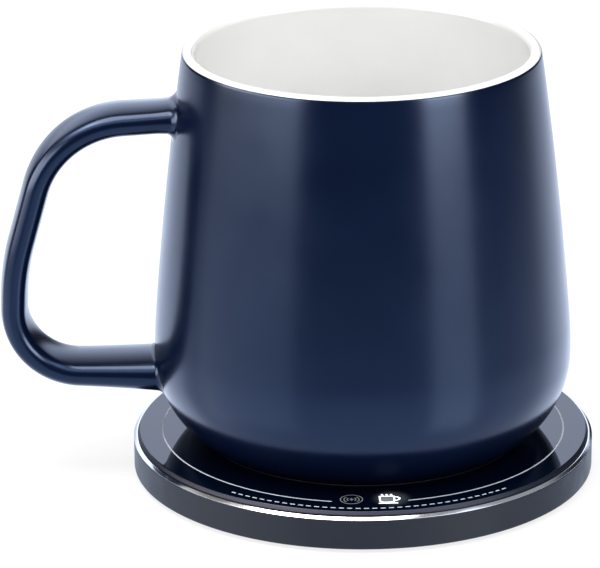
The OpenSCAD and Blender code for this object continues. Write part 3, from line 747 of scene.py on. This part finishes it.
class MUG_OT_cup(bpy.types.Operator):
    """Turns the mug's body and glazes it navy outside and white inside"""

    bl_idname = "mug.cup"
    bl_label = "Mug body"

    def execute(self, context):
        mug = context.scene.mug_sizes
        lift = Vector((0.0, mug.foot_level))
        cup = lathe("cup", [p + lift for p in mug_outline(mug)], steps=224)
        seat(cup, "mug", "Navy glaze", ["mug_body"])
        for name in ("White glaze", "Bare clay"):
            cup.data.materials.append(finish(name))
        white, bare = 1, 2
        above_hollow = mug.recess * 1.5
        sole_level = mug.foot_edge / 3
        hollow_radius = mug.foot / 2 - mug.foot_ring * 0.9
        for face in cup.data.polygons:
            level = face.center.z - mug.foot_level
            radius = math.hypot(face.center.x, face.center.y)
            if level > mug.height - mug.white_edge:
                face.material_index = white
            elif level > above_hollow and radius < outer_radius(mug, level) - mug.wall / 2:
                face.material_index = white
            elif level < sole_level or radius < hollow_radius:
                face.material_index = bare
        return {"FINISHED"}


def handle_corners(mug, handle):
    """Corners of the handle's middle line, as distance from the axis and height."""
    heel_x = mug.belly / 2 + handle.reach
    upper_level = mug.height - handle.drop
    shoulder = Vector((heel_x - handle.shoulder_in, upper_level - handle.shoulder_fall))
    heel = Vector((heel_x, handle.low + handle.heel_rise))
    waist_level = heel.y + handle.waist_share * (shoulder.y - heel.y)
    waist = Vector((heel_x - handle.waist_in, waist_level))
    axis_x = (mug.rim - mug.wall) / 2
    upper = Vector((axis_x, upper_level))
    lower = Vector((axis_x, handle.low))
    upper_run = (shoulder - upper).normalized()
    lower_run = (heel - lower).normalized()
    upper += upper_run * (outer_radius(mug, upper_level) - handle.sunk - upper.x)
    lower += lower_run * (outer_radius(mug, handle.low) - handle.sunk - lower.x)
    return upper, shoulder, waist, heel, lower


def waist_bend(handle, shoulder, waist, heel, lower):
    """Bend radius at the turn in the grip, from the straight run that is free below it."""
    heel_half = (waist - heel).angle(lower - heel) / 2
    waist_half = (shoulder - waist).angle(heel - waist) / 2
    free = (waist - heel).length - handle.heel_bend / math.tan(heel_half)
    return handle.waist_ease * free * math.tan(waist_half)


def wall_gap(mug, place):
    """Distance of a place from the mug's outer wall, less than 0 inside it."""
    return math.hypot(place.x, place.y) - outer_radius(mug, place.z - mug.foot_level)


def grow_roots(piece, mug, handle, middle, upper_way, lower_way):
    """Grows the handle's ends towards the wall, and rounds them hollow into it."""
    normals = [point.normal.copy() for point in piece.data.vertices]
    reach = 2 * handle.upper_fillet
    for point, normal in zip(piece.data.vertices, normals):
        place = point.co.copy()
        upper = place.z - mug.foot_level > middle
        growth = handle.upper_flare if upper else handle.lower_flare
        run = handle.upper_run if upper else handle.lower_run
        fillet = handle.upper_fillet if upper else handle.lower_fillet
        gap = wall_gap(mug, place)
        if upper:
            slim = max(0.0, 1 - max(0.0, gap) / handle.narrow_run) ** 2
            place.y *= 1 - slim * handle.narrow / handle.width
        if gap > run:
            point.co = place
            continue
        if abs(gap) < reach:
            place += (upper_way if upper else lower_way) * (gap * abs(gap) / reach - gap)
            gap = wall_gap(mug, place)
        near = 1 - max(0.0, gap) / run
        hollow = fillet - min(max(0.0, gap), fillet)
        grown = growth * near ** 2 + fillet - math.sqrt(fillet ** 2 - hollow ** 2)
        place += normal * (grown + ROOT_SPREAD * max(0.0, -gap))
        pull = (gap - wall_gap(mug, place)) / math.hypot(place.x, place.y) * near
        place.x += place.x * pull
        place.y += place.y * pull
        point.co = place


def handle_section(handle):
    """Loop across the handle's band, with crowned faces and round edges."""
    thick = handle.thickness / 2
    wide = handle.width / 2
    slope = math.tan(handle.crown / 2)
    edge = (thick - wide * slope) / (math.cos(handle.crown) - slope + slope * math.sin(handle.crown))
    middle = wide - edge
    face = middle / math.sin(handle.crown) + edge
    arcs = [(Vector((thick - face, 0.0)), face, -handle.crown, handle.crown, 10),
            (Vector((0.0, middle)), edge, handle.crown, math.pi - handle.crown, 16),
            (Vector((face - thick, 0.0)), face, math.pi - handle.crown, math.pi + handle.crown, 10),
            (Vector((0.0, -middle)), edge, math.pi + handle.crown, FULL_TURN - handle.crown, 16)]
    loop = []
    for arc in arcs:
        loop += [Vector((p.x, p.y, 0.0)) for p in points_on_arc(*arc)[:-1]]
    return loop


class MUG_OT_handle(bpy.types.Operator):
    """Draws the handle's band out along its middle line and grows its roots into the wall"""

    bl_idname = "mug.handle"
    bl_label = "Mug handle"

    def execute(self, context):
        mug = context.scene.mug_sizes
        handle = context.scene.mug_handle
        upper, shoulder, waist, heel, lower = handle_corners(mug, handle)

        def spot(point):
            return Vector((-point.x, 0.0, mug.foot_level + point.y))

        def run_on(start, end, steps):
            for _ in range(steps):
                draw_out((spot(end) - spot(start)) / steps)

        piece = draw_chain("handle_band", handle_section(handle), closed=True)
        fall = bearing(upper - shoulder)
        bpy.ops.transform.rotate(value=QUARTER_TURN + fall, orient_axis="Y", center_override=ORIGIN)
        bpy.ops.transform.translate(value=spot(upper))
        root_length = handle.sunk + 2 * handle.upper_fillet
        root_steps = 54
        near_upper = upper + (shoulder - upper).normalized() * root_length
        near_lower = lower + (heel - lower).normalized() * root_length
        run_on(upper, near_upper, root_steps)
        here = near_upper
        turn_bend = waist_bend(handle, shoulder, waist, heel, lower)
        bends = [(upper, shoulder, waist, handle.shoulder_bend, 16, 32),
                 (shoulder, waist, heel, turn_bend, 6, 10),
                 (waist, heel, lower, handle.heel_bend, 4, 32)]
        for before, corner, after, radius, run_steps, bend_steps in bends:
            centre, first, last = bend(before, corner, after, radius)
            run_on(here, first, run_steps)
            turn = math.pi - (before - corner).angle(after - corner)
            bpy.ops.mesh.spin(steps=bend_steps, angle=turn, center=spot(centre), axis=(0, 1, 0))
            here = last
        run_on(here, near_lower, 24)
        run_on(near_lower, lower, root_steps)
        tidy_mesh(HANDLE_SMOOTH)
        grow_roots(piece, mug, handle, waist.y, (spot(shoulder) - spot(upper)).normalized(),
                   (spot(heel) - spot(lower)).normalized())
        bpy.ops.object.mode_set(mode="EDIT")
        cap_ends()
        tidy_mesh(HANDLE_SMOOTH)
        seat(piece, "mug", "Navy glaze", ["mug_handle"])
        return {"FINISHED"}


class MUG_OT_heater_seal(bpy.types.Operator):
    """Turns the cast seal that closes the hollow in the mug's foot"""

    bl_idname = "mug.heater_seal"
    bl_label = "Heater seal"

    def execute(self, context):
        low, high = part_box("heater_seal")
        edge = context.scene.mug_sizes.seal_edge
        corners = [(0.0, low.z), (high.x / 2, low.z), (high.x, low.z, edge, 5, edge),
                   (high.x, high.z), (0.0, high.z)]
        seal = lathe("cast_seal", corners, steps=128)
        seat(seal, "mug", "Cast silicone", ["heater_seal"])
        return {"FINISHED"}


class MUG_OT_glass(bpy.types.Operator):
    """Turns the glass with its bevelled edge"""

    bl_idname = "mug.glass"
    bl_label = "Glass top"

    def execute(self, context):
        pad = context.scene.mug_pad
        radius = pad.glass_width / 2
        near_edge = radius * 0.97
        soft = pad.soft
        corners = [(0.0, pad.glass_level), (near_edge, pad.glass_level), (radius, pad.glass_level),
                   (radius, pad.top_level - pad.bevel_fall, soft, 3, soft),
                   (radius - pad.bevel, pad.top_level, soft, 4, soft),
                   (near_edge, pad.top_level), (radius / 2, pad.top_level), (0.0, pad.top_level)]
        glass = lathe("glass_plate", corners, FINE_STEPS)
        seat(glass, "pad", "Black glass", ["glass_top"])
        return {"FINISHED"}


def stroke(name, points, line, closed=False, part=1.0):
    """Flat line of a width along points on the glass, as thick as a mark or a part of that."""
    level = bpy.context.scene.mug_pad.top_level
    piece = draw_chain(name, [Vector((p.x, p.y, level)) for p in points], closed)
    draw_out((0, 0, bpy.context.scene.mug_marks.height * part))
    bpy.ops.mesh.select_all(action="SELECT")
    bpy.ops.mesh.normals_make_consistent(inside=False)
    bpy.ops.object.mode_set(mode="OBJECT")
    apply_modifier(piece, "SOLIDIFY", thickness=line, offset=0.0, use_even_offset=True)
    tidy_mesh(MARK_SMOOTH)
    return piece


def seat_mark(piece, look):
    """Seats a mark on the glass; the mug's glaze doesn't mirror it."""
    piece.visible_glossy = False
    seat(piece, "pad", look)


class MUG_OT_printed_ring(bpy.types.Operator):
    """Prints the ring that shows where the mug goes, and a row of dashes at the front"""

    bl_idname = "mug.printed_ring"
    bl_label = "Printed ring"

    def execute(self, context):
        marks = context.scene.mug_marks
        front = -QUARTER_TURN - marks.turn
        arc = points_on_arc(MIDDLE, marks.ring, front + marks.ring_gap,
                            front - marks.ring_gap + FULL_TURN, 260)
        seat_mark(stroke("guide_ring", arc, marks.ring_line), "White print")
        half = marks.dash / marks.dash_ring / 2
        start = front - marks.dash_reach
        arc = points_on_arc(MIDDLE, marks.dash_ring, start - half, start + half, 4)
        dashes = stroke("front_dashes", arc, marks.dash_line)
        bpy.ops.object.mode_set(mode="EDIT")
        bpy.ops.mesh.select_all(action="SELECT")
        bpy.ops.mesh.spin(steps=marks.dashes - 1, dupli=True, angle=-2 * marks.dash_reach,
                          center=ORIGIN, axis=UP)
        tidy_mesh(MARK_SMOOTH)
        seat_mark(dashes, "White print")
        return {"FINISHED"}


# Lines of the two signs, in units about each sign's middle.
CUP_BODY = [(-2.0, 1.7), (-2.0, -1.2), (-1.75, -1.75), (-1.2, -2.0), (0.7, -2.0), (1.25, -1.75),
            (1.5, -1.2), (1.5, 1.7)]
CUP_EAR = [(1.5, 1.2), (2.3, 1.1), (2.8, 0.6), (2.8, -0.1), (2.3, -0.75), (1.5, -1.2)]
CUP_SAUCER = [(-2.4, -2.6), (2.3, -2.6)]
CUP_FILL = [(-0.25, 1.5), (-0.25, -1.8)]
STEAM = [(-0.1, 1.95), (0.12, 2.3), (-0.12, 2.6), (0.1, 2.95)]
STEAM_PLACES = (-1.3, -0.2, 0.9)
FLASH = [(0.15, 0.75), (-0.3, 0.0), (0.3, 0.0), (-0.15, -0.75)]
WAVE_ARCS = ((1.05, 46), (1.85, 48))
BORDER_RADIUS = 2.7
BORDER_STEPS = 64


class MUG_OT_signs(bpy.types.Operator):
    """Draws the lit steaming cup and the unlit sign of a flash between arcs"""

    bl_idname = "mug.signs"
    bl_label = "Signs"

    def execute(self, context):
        marks = context.scene.mug_marks
        line = marks.sign_line
        wave_line = line * 0.7
        border_line = line * 0.6
        turn = Matrix.Rotation(-marks.turn, 2)

        def drawn(points, side):
            middle = turn @ Vector((side * marks.sign_x, -marks.sign_y))
            return [middle + Vector(p) * marks.sign_unit for p in points]

        lines = [(CUP_BODY, True), (CUP_EAR, False), (CUP_SAUCER, False)]
        for x in STEAM_PLACES:
            lines.append(([(x + dx, y) for dx, y in STEAM], False))
        parts = [stroke("cup_line", drawn(points, 1), line, closed) for points, closed in lines]
        seat_mark(join(parts, "cup_sign"), "Lit sign")
        fill = stroke("cup_fill", drawn(CUP_FILL, 1), marks.fill_line, part=0.5)
        seat_mark(fill, "Dim print")
        lines = []
        for radius, spread in WAVE_ARCS:
            for side in (0, 180):
                lines.append(points_on_arc(MIDDLE, radius, math.radians(side - spread),
                                           math.radians(side + spread), 18))
        parts = [stroke("wave_line", drawn(points, -1), wave_line) for points in lines]
        last = BORDER_STEPS - 1
        border = points_on_arc(MIDDLE, BORDER_RADIUS, 0.0, FULL_TURN * last / BORDER_STEPS, last)
        parts.append(stroke("wave_border", drawn(border, -1), border_line, closed=True))
        parts.append(stroke("wave_flash", drawn(FLASH, -1), wave_line))
        seat_mark(join(parts, "wave_sign"), "Dim print")
        return {"FINISHED"}


class MUG_OT_trim_ring(bpy.types.Operator):
    """Turns the bright ring with its chamfer"""

    bl_idname = "mug.trim_ring"
    bl_label = "Trim ring"

    def execute(self, context):
        pad = context.scene.mug_pad
        edge = pad.width / 2
        outer = edge - pad.lip - pad.seam
        web = outer - pad.trim_web
        flange = pad.glass_width / 2 - pad.flange
        nose_level = pad.lip_level + pad.seam
        soft = pad.trim_soft
        corners = [(flange, pad.ledge_level), (outer, pad.ledge_level), (outer, nose_level),
                   (edge, nose_level, soft, 3, soft / 2),
                   (edge, pad.trim_level - pad.chamfer_fall, soft, 3, soft / 2),
                   (edge - pad.chamfer, pad.trim_level, soft / 4, 3),
                   (web, pad.trim_level, soft / 2, 3),
                   (web, pad.seal_level), (flange, pad.seal_level)]
        ring = lathe("trim_band", corners, FINE_STEPS, closed=True)
        seat(ring, "pad", "Bright trim", ["trim_ring"])
        return {"FINISHED"}


def port_loop(name, port, grow, y_from, y_to):
    """Open tube with the port's outline, drawn along Y, in edit mode."""
    half_run = (port.width - port.height) / 2
    loop = []
    for side in (1, -1):
        centre = Vector((side * half_run, port.level))
        start = -side * QUARTER_TURN
        loop += points_on_arc(centre, port.height / 2 + grow, start, start + math.pi, 12)
    piece = draw_chain(name, [Vector((p.x, y_from, p.y)) for p in loop], closed=True)
    draw_out((0, y_to - y_from, 0))
    return piece


def port_plug(name, port, grow, y_from, y_to):
    """Solid with the port's outline."""
    piece = port_loop(name, port, grow, y_from, y_to)
    cap_ends()
    tidy_mesh(PORT_SMOOTH)
    return piece


def upright_rod(name, radius, low, high, place, steps=48):
    """Round rod on a place, for bosses and cuts."""
    rod = lathe(name, [(0.0, low), (radius, low), (radius, high), (0.0, high)], steps)
    shift(place)
    return rod


def boss_places(pad):
    """Places of the four screw bosses and feet."""
    ring = points_on_arc(MIDDLE, pad.boss_circle, QUARTER_TURN / 2, QUARTER_TURN * 3.5, 3)
    return [Vector((p.x, p.y, 0.0)) for p in ring]


class MUG_OT_housing(bpy.types.Operator):
    """Turns the housing's wall, adds its screw bosses and cuts the hole for the port"""

    bl_idname = "mug.housing"
    bl_label = "Housing"

    def execute(self, context):
        pad = context.scene.mug_pad
        port = context.scene.mug_port
        edge = pad.width / 2
        cavity = edge - pad.wall
        cover = pad.cover_width / 2
        lip = edge - pad.lip
        ledge = cavity - pad.ledge_width
        under_ledge = pad.ledge_level - pad.ledge
        soft = pad.soft
        corners = [(cover, pad.base_level), (edge, pad.base_level, pad.base_edge, 6, soft),
                   (edge, pad.lip_level, soft, 3, soft), (lip, pad.lip_level),
                   (lip, pad.ledge_level), (ledge, pad.ledge_level), (ledge, under_ledge),
                   (cavity, under_ledge), (cavity, pad.inside_level), (cover, pad.inside_level)]
        wall = lathe("pad_housing", corners, FINE_STEPS, closed=True)
        cut(wall, port_plug("port_hole", port, port.fit, ledge - pad.wall, edge + pad.wall))
        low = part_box("base_cover")[1].z
        for place in boss_places(pad):
            boss = upright_rod("boss", pad.boss / 2, low, pad.ledge_level - pad.ledge / 2, place)
            cut(wall, boss, "UNION")
        tidy_mesh()
        seat(wall, "pad", "Charcoal shell", ["housing"])
        return {"FINISHED"}


class MUG_OT_base_cover(bpy.types.Operator):
    """Turns the base cover and sinks a pocket for each foot"""

    bl_idname = "mug.base_cover"
    bl_label = "Base cover"

    def execute(self, context):
        pad = context.scene.mug_pad
        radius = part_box("base_cover")[1].x
        soft = pad.cover_soft
        corners = [(0.0, pad.base_level), (radius / 2, pad.base_level),
                   (radius, pad.base_level, soft, 4, soft),
                   (radius, pad.inside_level), (0.0, pad.inside_level)]
        cover = lathe("base_plate", corners)
        for place in boss_places(pad):
            pocket = upright_rod("pocket", pad.foot / 2 + pad.seam, pad.base_level - pad.foot_sunk,
                                 pad.base_level + pad.foot_sunk, place, 64)
            cut(cover, pocket)
        tidy_mesh()
        seat(cover, "pad", "Black plastic", ["base_cover"])
        return {"FINISHED"}


class MUG_OT_rubber_feet(bpy.types.Operator):
    """Turns one foot with a shallow ring in its sole, and copies it"""

    bl_idname = "mug.rubber_feet"
    bl_label = "Rubber feet"

    def execute(self, context):
        pad = context.scene.mug_pad
        radius = pad.foot / 2
        top = pad.base_level + pad.foot_sunk
        edge = pad.base_level / 2
        start, inner, outer, end = [radius * part for part in SOLE_RING]
        corners = [(0.0, 0.0), (start, 0.0), (inner, pad.groove), (outer, pad.groove), (end, 0.0),
                   (radius, 0.0, edge, 6, edge / 4), (radius, top), (0.0, top)]
        first = lathe("rubber_foot", corners, steps=64)
        for number, place in enumerate(boss_places(pad), 1):
            foot = copy_piece(first, f"sole_{number}", place)
            seat(foot, "pad", "Grey rubber", [f"rubber_foot_{number}"])
        discard(first)
        return {"FINISHED"}


def block(name, low, high, bevel, segments=2):
    """Box between two corners, with its edges bevelled."""
    clear_selection()
    bpy.ops.mesh.primitive_cube_add(size=1.0, enter_editmode=True)
    piece = bpy.context.object
    name_piece(piece, name)
    bpy.ops.transform.resize(value=high - low)
    bpy.ops.transform.translate(value=(low + high) / 2)
    bpy.ops.mesh.bevel(offset=bevel, segments=segments, profile=0.5, affect="EDGES")
    tidy_mesh(PORT_SMOOTH)
    return piece


class MUG_OT_power_port(bpy.types.Operator):
    """Draws the port's rolled shell and its tongue with contacts on both sides"""

    bl_idname = "mug.power_port"
    bl_label = "Power port"

    def execute(self, context):
        port = context.scene.mug_port
        back = port.mouth - port.depth
        shell = port_loop("port_sleeve", port, 0.0, back, port.mouth)
        tidy_mesh(PORT_SMOOTH)
        apply_modifier(shell, "SOLIDIFY", thickness=port.skin, offset=-1.0, use_even_offset=True)
        apply_modifier(shell, "BEVEL", width=port.skin * 0.3, segments=2, limit_method="ANGLE",
                       angle_limit=math.radians(50))
        tidy_mesh(PORT_SMOOTH)
        seat(shell, "pad", "Plain steel", ["port_shell"])
        moulding = port_plug("port_moulding", port, -port.skin - port.block_fit, back,
                             back + port.block)
        half = Vector((port.tongue_width / 2, 0.0, port.tongue / 2))
        inside_block = back + port.block * 0.8
        root = Vector((0.0, inside_block, port.level))
        tip = Vector((0.0, port.mouth - port.tongue_in, port.level))
        cut(moulding, block("tongue", root - half, tip + half, port.tongue_edge), "UNION")
        tidy_mesh(PORT_SMOOTH)
        seat(moulding, "pad", "Black plastic", ["port_tongue"])
        pins = []
        for face in (-1, 1):
            for number in range(port.contacts):
                x = (number - (port.contacts - 1) / 2) * port.contact_pitch
                middle = Vector((x, 0.0, port.level + face * port.tongue / 2))
                half = Vector((port.contact / 2, 0.0, port.contact_rise))
                low = middle - half + Vector((0.0, back + port.block, 0.0))
                high = middle + half + Vector((0.0, tip.y - port.contact_in, 0.0))
                pins.append(block("contact", low, high, port.contact_rise / 2, 1))
        seat(join(pins, "port_contacts"), "pad", "Gold contact")
        return {"FINISHED"}


INNER_PARTS = {
    "Plain steel": ["heating_plate", "base_screws", "board_screws"],
    "Copper wire": ["heating_coil", "temperature_sensor"],
    "Circuit board": ["main_board"],
    "Ferrite": ["ferrite_plate", "filter_inductor"],
    "Mica": ["insulating_sheet"],
    "Black plastic": ["coil_carrier", "light_box"],
    "Grey rubber": ["glass_seal"],
    "Frosted plastic": ["diffuser_1", "diffuser_2", "status_led_1", "status_led_2"],
    "Chip black": ["control_chip", *[f"power_transistor_{number}" for number in range(1, 5)]],
    "Capacitor tan": [f"resonance_capacitor_{number}" for number in range(1, 5)],
}


class MUG_OT_inner_parts(bpy.types.Operator):
    """Puts finishes on the solids inside the pad and the mug's foot"""

    bl_idname = "mug.inner_parts"
    bl_label = "Inner parts"

    def execute(self, context):
        for look, nodes in INNER_PARTS.items():
            for node in nodes:
                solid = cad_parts[node]
                if not solid.material_slots:
                    solid.data.materials.append(finish(look))
                for holder in solid.material_slots:
                    holder.material = finish(look)
        return {"FINISHED"}


# Lights of the sky: strength, fades by bearing and fades by rise, and which rays alone see it.
# A fade starts at its first angle and is full at its second, in degrees; the camera is at 0.
LEFT_PANEL = ((-107, -99), (-37, -45))
RIGHT_PANEL = ((33, 38), (64.5, 59.5))
SHEET = ((70, 60), (-46, -26))
STRIP = ((-5, 3.5), (32, 16))
HIGH = ((5, 13), (46, 20))
LEVEL = ((13, 5), (-12, -5))
LOW = ((-5, -12),)
PLAIN_LIGHTS = [
    (0.024,),
    (0.2, (), ((28, 42),)),
    (0.55, LEFT_PANEL, SHEET),
    (1.15, RIGHT_PANEL, SHEET),
    (0.45, ((-149, -135), (-97, -111)), ((26, 34), (48, 38))),
    (2.35, ((-115, -75), (115, 75)), ((10, 24), (74, 60)), "matt"),
]
COOL_LIGHTS = [
    (1.0, (), ((-3, -22),)),
    (1.5, ((-124, -142),), HIGH),
    (1.5, ((138, 152),), HIGH),
    (0.78, ((-140, -155),), LEVEL),
    (1.2, ((-168, -177),), LEVEL),
    (1.2, ((168, 177),), LEVEL),
    (0.55, ((-117, -124),), LOW),
    (0.55, ((107, 131),), LOW),
    (0.12, ((18, 34), (148, 132)), ((24, 40),)),
    (2.0, ((-94, -74), (94, 74)), ((33, 40), (64, 58)), "glaze"),
]
WARM_LIGHTS = [
    (8.0, LEFT_PANEL, STRIP),
    (11.5, RIGHT_PANEL, STRIP),
    (7.0, ((-95, -85), (-43, -53)), ((42, 52), (74, 64))),
]
SPOT_PLACE = (-0.166, -0.11, 0.98)
SPOT_FADE = (24, 20)
SPOT_STRENGTH = 9.5
COOL_TINT = (0.88, 1.0, 1.26, 1.0)
WARM_TINT = (1.0, 0.88, 0.81)

# Glossy depth below which a ray is at its first bounce, and what later ones see of the cool light.
FIRST_BOUNCE = 1.5
LATER_SHARE = 0.4


class StudioSky:
    """Builds the light round the stage: two soft panels, a pale back and a dim front."""

    def __init__(self, world):
        world.use_nodes = True
        self.tree = world.node_tree
        self.tree.nodes.clear()
        self.place = add_node(self.tree, "TexCoord")["Generated"]
        split = add_node(self.tree, "SeparateXYZ", {"Vector": self.place})
        self.bearing = self.math("ARCTAN2", split["X"], self.math("MULTIPLY", split["Y"], -1.0))
        self.rise = self.math("ARCSINE", split["Z"])
        self.ray = add_node(self.tree, "LightPath")
        glaze = self.ray["Is Glossy Ray"]
        self.seen_by = {"glaze": glaze, "matt": self.math("SUBTRACT", 1.0, glaze)}

    def math(self, operation, first, second=0.0):
        """Value of a sum on two values."""
        return add_node(self.tree, "Math", {0: first, 1: second}, operation=operation)["Value"]

    def vector(self, operation, first, second):
        """Vector of a sum on a vector and a second input."""
        inputs = {0: first, "Scale" if operation == "SCALE" else 1: second}
        return add_node(self.tree, "VectorMath", inputs, operation=operation)["Vector"]

    def fade(self, value, start, end):
        """Smooth step of a value between two angles in degrees."""
        inputs = {"Value": value, "From Min": math.radians(start), "From Max": math.radians(end)}
        return add_node(self.tree, "MapRange", inputs, interpolation_type="SMOOTHSTEP")["Result"]

    def light(self, strength, bearings=(), rises=(), seen_by=None):
        """Strength of one light in the direction that is looked at."""
        found = strength
        for value, fades in ((self.bearing, bearings), (self.rise, rises)):
            for start, end in fades:
                found = self.math("MULTIPLY", self.fade(value, start, end), found)
        if seen_by:
            found = self.math("MULTIPLY", found, self.seen_by[seen_by])
        return found

    def total(self, lights):
        """Sum of several lights."""
        found = 0.0
        for light in lights:
            found = self.math("ADD", found, self.light(*light))
        return found

    def spot(self):
        """Round warm light above the stage."""
        inputs = {0: self.place, 1: SPOT_PLACE}
        away = add_node(self.tree, "VectorMath", inputs, operation="DISTANCE")["Value"]
        return self.math("MULTIPLY", self.fade(away, *SPOT_FADE), SPOT_STRENGTH)

    def build(self):
        """Sums the light; only glazes see the tinted parts, and the camera sees white."""
        glaze = self.seen_by["glaze"]
        first = self.math("LESS_THAN", self.ray["Glossy Depth"], FIRST_BOUNCE)
        tints = {"Factor": glaze, "A": (1.0, 1.0, 1.0, 1.0), "B": COOL_TINT}
        tint = add_node(self.tree, "Mix", tints, data_type="RGBA")["Result"]
        nearer = self.math("ADD", LATER_SHARE, self.math("MULTIPLY", first, 1 - LATER_SHARE))
        cool = self.math("MULTIPLY", self.total(COOL_LIGHTS), nearer)
        warm = self.math("ADD", self.total(WARM_LIGHTS), self.spot())
        warm = self.math("MULTIPLY", self.math("MULTIPLY", warm, glaze), first)
        lit = self.vector("ADD", self.vector("SCALE", tint, cool), self.total(PLAIN_LIGHTS))
        lit = self.vector("ADD", lit, self.vector("SCALE", WARM_TINT, warm))
        seen = self.vector("MAXIMUM", lit, self.ray["Is Camera Ray"])
        light = add_node(self.tree, "Background", {"Color": seen})["Background"]
        add_node(self.tree, "OutputWorld", {"Surface": light})


class MUG_OT_stage(bpy.types.Operator):
    """Sets a pale floor, soft studio light and the camera"""

    bl_idname = "mug.stage"
    bl_label = "Stage"

    def execute(self, context):
        stage = context.scene.mug_stage
        clear_selection()
        bpy.ops.mesh.primitive_plane_add(size=stage.floor_size)
        floor = context.object
        name_piece(floor, "floor")
        floor.data.materials.append(finish("Pale floor"))
        floor.visible_glossy = False
        context.scene.world = bpy.data.worlds.new("studio")
        StudioSky(context.scene.world).build()
        bpy.ops.object.light_add(type="AREA", location=stage.lamp_place)
        lamp = context.object
        lamp.name = "overhead"
        lamp.data.shape = "DISK"
        lamp.data.size = stage.lamp_size
        lamp.data.energy = stage.lamp_power
        lamp.visible_glossy = False
        spared = bpy.data.collections.new("out of the overhead light")
        for name in ("cup", "handle_band"):
            spared.objects.link(bpy.data.objects[name])
        lamp.light_linking.receiver_collection = spared
        for entry in spared.collection_objects:
            entry.light_linking.link_state = "EXCLUDE"
        bpy.ops.object.camera_add(location=stage.eye)
        camera = context.object
        look = Euler((QUARTER_TURN - stage.tilt, 0.0, -stage.turn)).to_quaternion()
        camera.rotation_euler = (look @ Quaternion(UP, stage.roll)).to_euler()
        camera.data.sensor_width = 36.0
        camera.data.lens = stage.lens
        camera.data.clip_start = 0.01
        camera.data.clip_end = 100.0
        context.scene.camera = camera
        context.scene.view_settings.view_transform = "Standard"
        return {"FINISHED"}


PIECES = [MUG_OT_cup, MUG_OT_handle, MUG_OT_heater_seal, MUG_OT_glass, MUG_OT_printed_ring,
          MUG_OT_signs, MUG_OT_trim_ring, MUG_OT_housing, MUG_OT_base_cover, MUG_OT_rubber_feet,
          MUG_OT_power_port, MUG_OT_inner_parts, MUG_OT_stage]
SETTINGS = {"mug_sizes": MugSizes, "mug_handle": HandleSizes, "mug_pad": PadSizes,
            "mug_marks": MarkSizes, "mug_port": PortSizes, "mug_finishes": Finishes,
            "mug_stage": StageSettings}


class MUG_PT_panel(bpy.types.Panel):
    """Lists the mug's pieces and sizes"""

    bl_idname = "MUG_PT_panel"
    bl_label = "Self-heating mug"
    bl_space_type = "VIEW_3D"
    bl_region_type = "UI"
    bl_category = "Mug"

    def draw(self, context):
        for piece in PIECES:
            self.layout.operator(piece.bl_idname)
        for name, group in SETTINGS.items():
            box = self.layout.box()
            box.label(text=group.__name__)
            for key in group.__annotations__:
                box.prop(getattr(context.scene, name), key)


def register():
    """Registers settings, operators and the panel."""
    for name, group in SETTINGS.items():
        bpy.utils.register_class(group)
        setattr(bpy.types.Scene, name, bpy.props.PointerProperty(type=group))
    for piece in PIECES:
        bpy.utils.register_class(piece)
    bpy.utils.register_class(MUG_PT_panel)


def unregister():
    """Takes back what register did."""
    bpy.utils.unregister_class(MUG_PT_panel)
    for piece in reversed(PIECES):
        bpy.utils.unregister_class(piece)
    for name, group in SETTINGS.items():
        delattr(bpy.types.Scene, name)
        bpy.utils.unregister_class(group)


def main():
    """Models everything in order."""
    register()
    bpy.ops.mug.cup()
    bpy.ops.mug.handle()
    bpy.ops.mug.heater_seal()
    bpy.ops.mug.glass()
    bpy.ops.mug.printed_ring()
    bpy.ops.mug.signs()
    bpy.ops.mug.trim_ring()
    bpy.ops.mug.housing()
    bpy.ops.mug.base_cover()
    bpy.ops.mug.rubber_feet()
    bpy.ops.mug.power_port()
    bpy.ops.mug.inner_parts()
    bpy.ops.mug.stage()


if __name__ == "__main__":
    main()
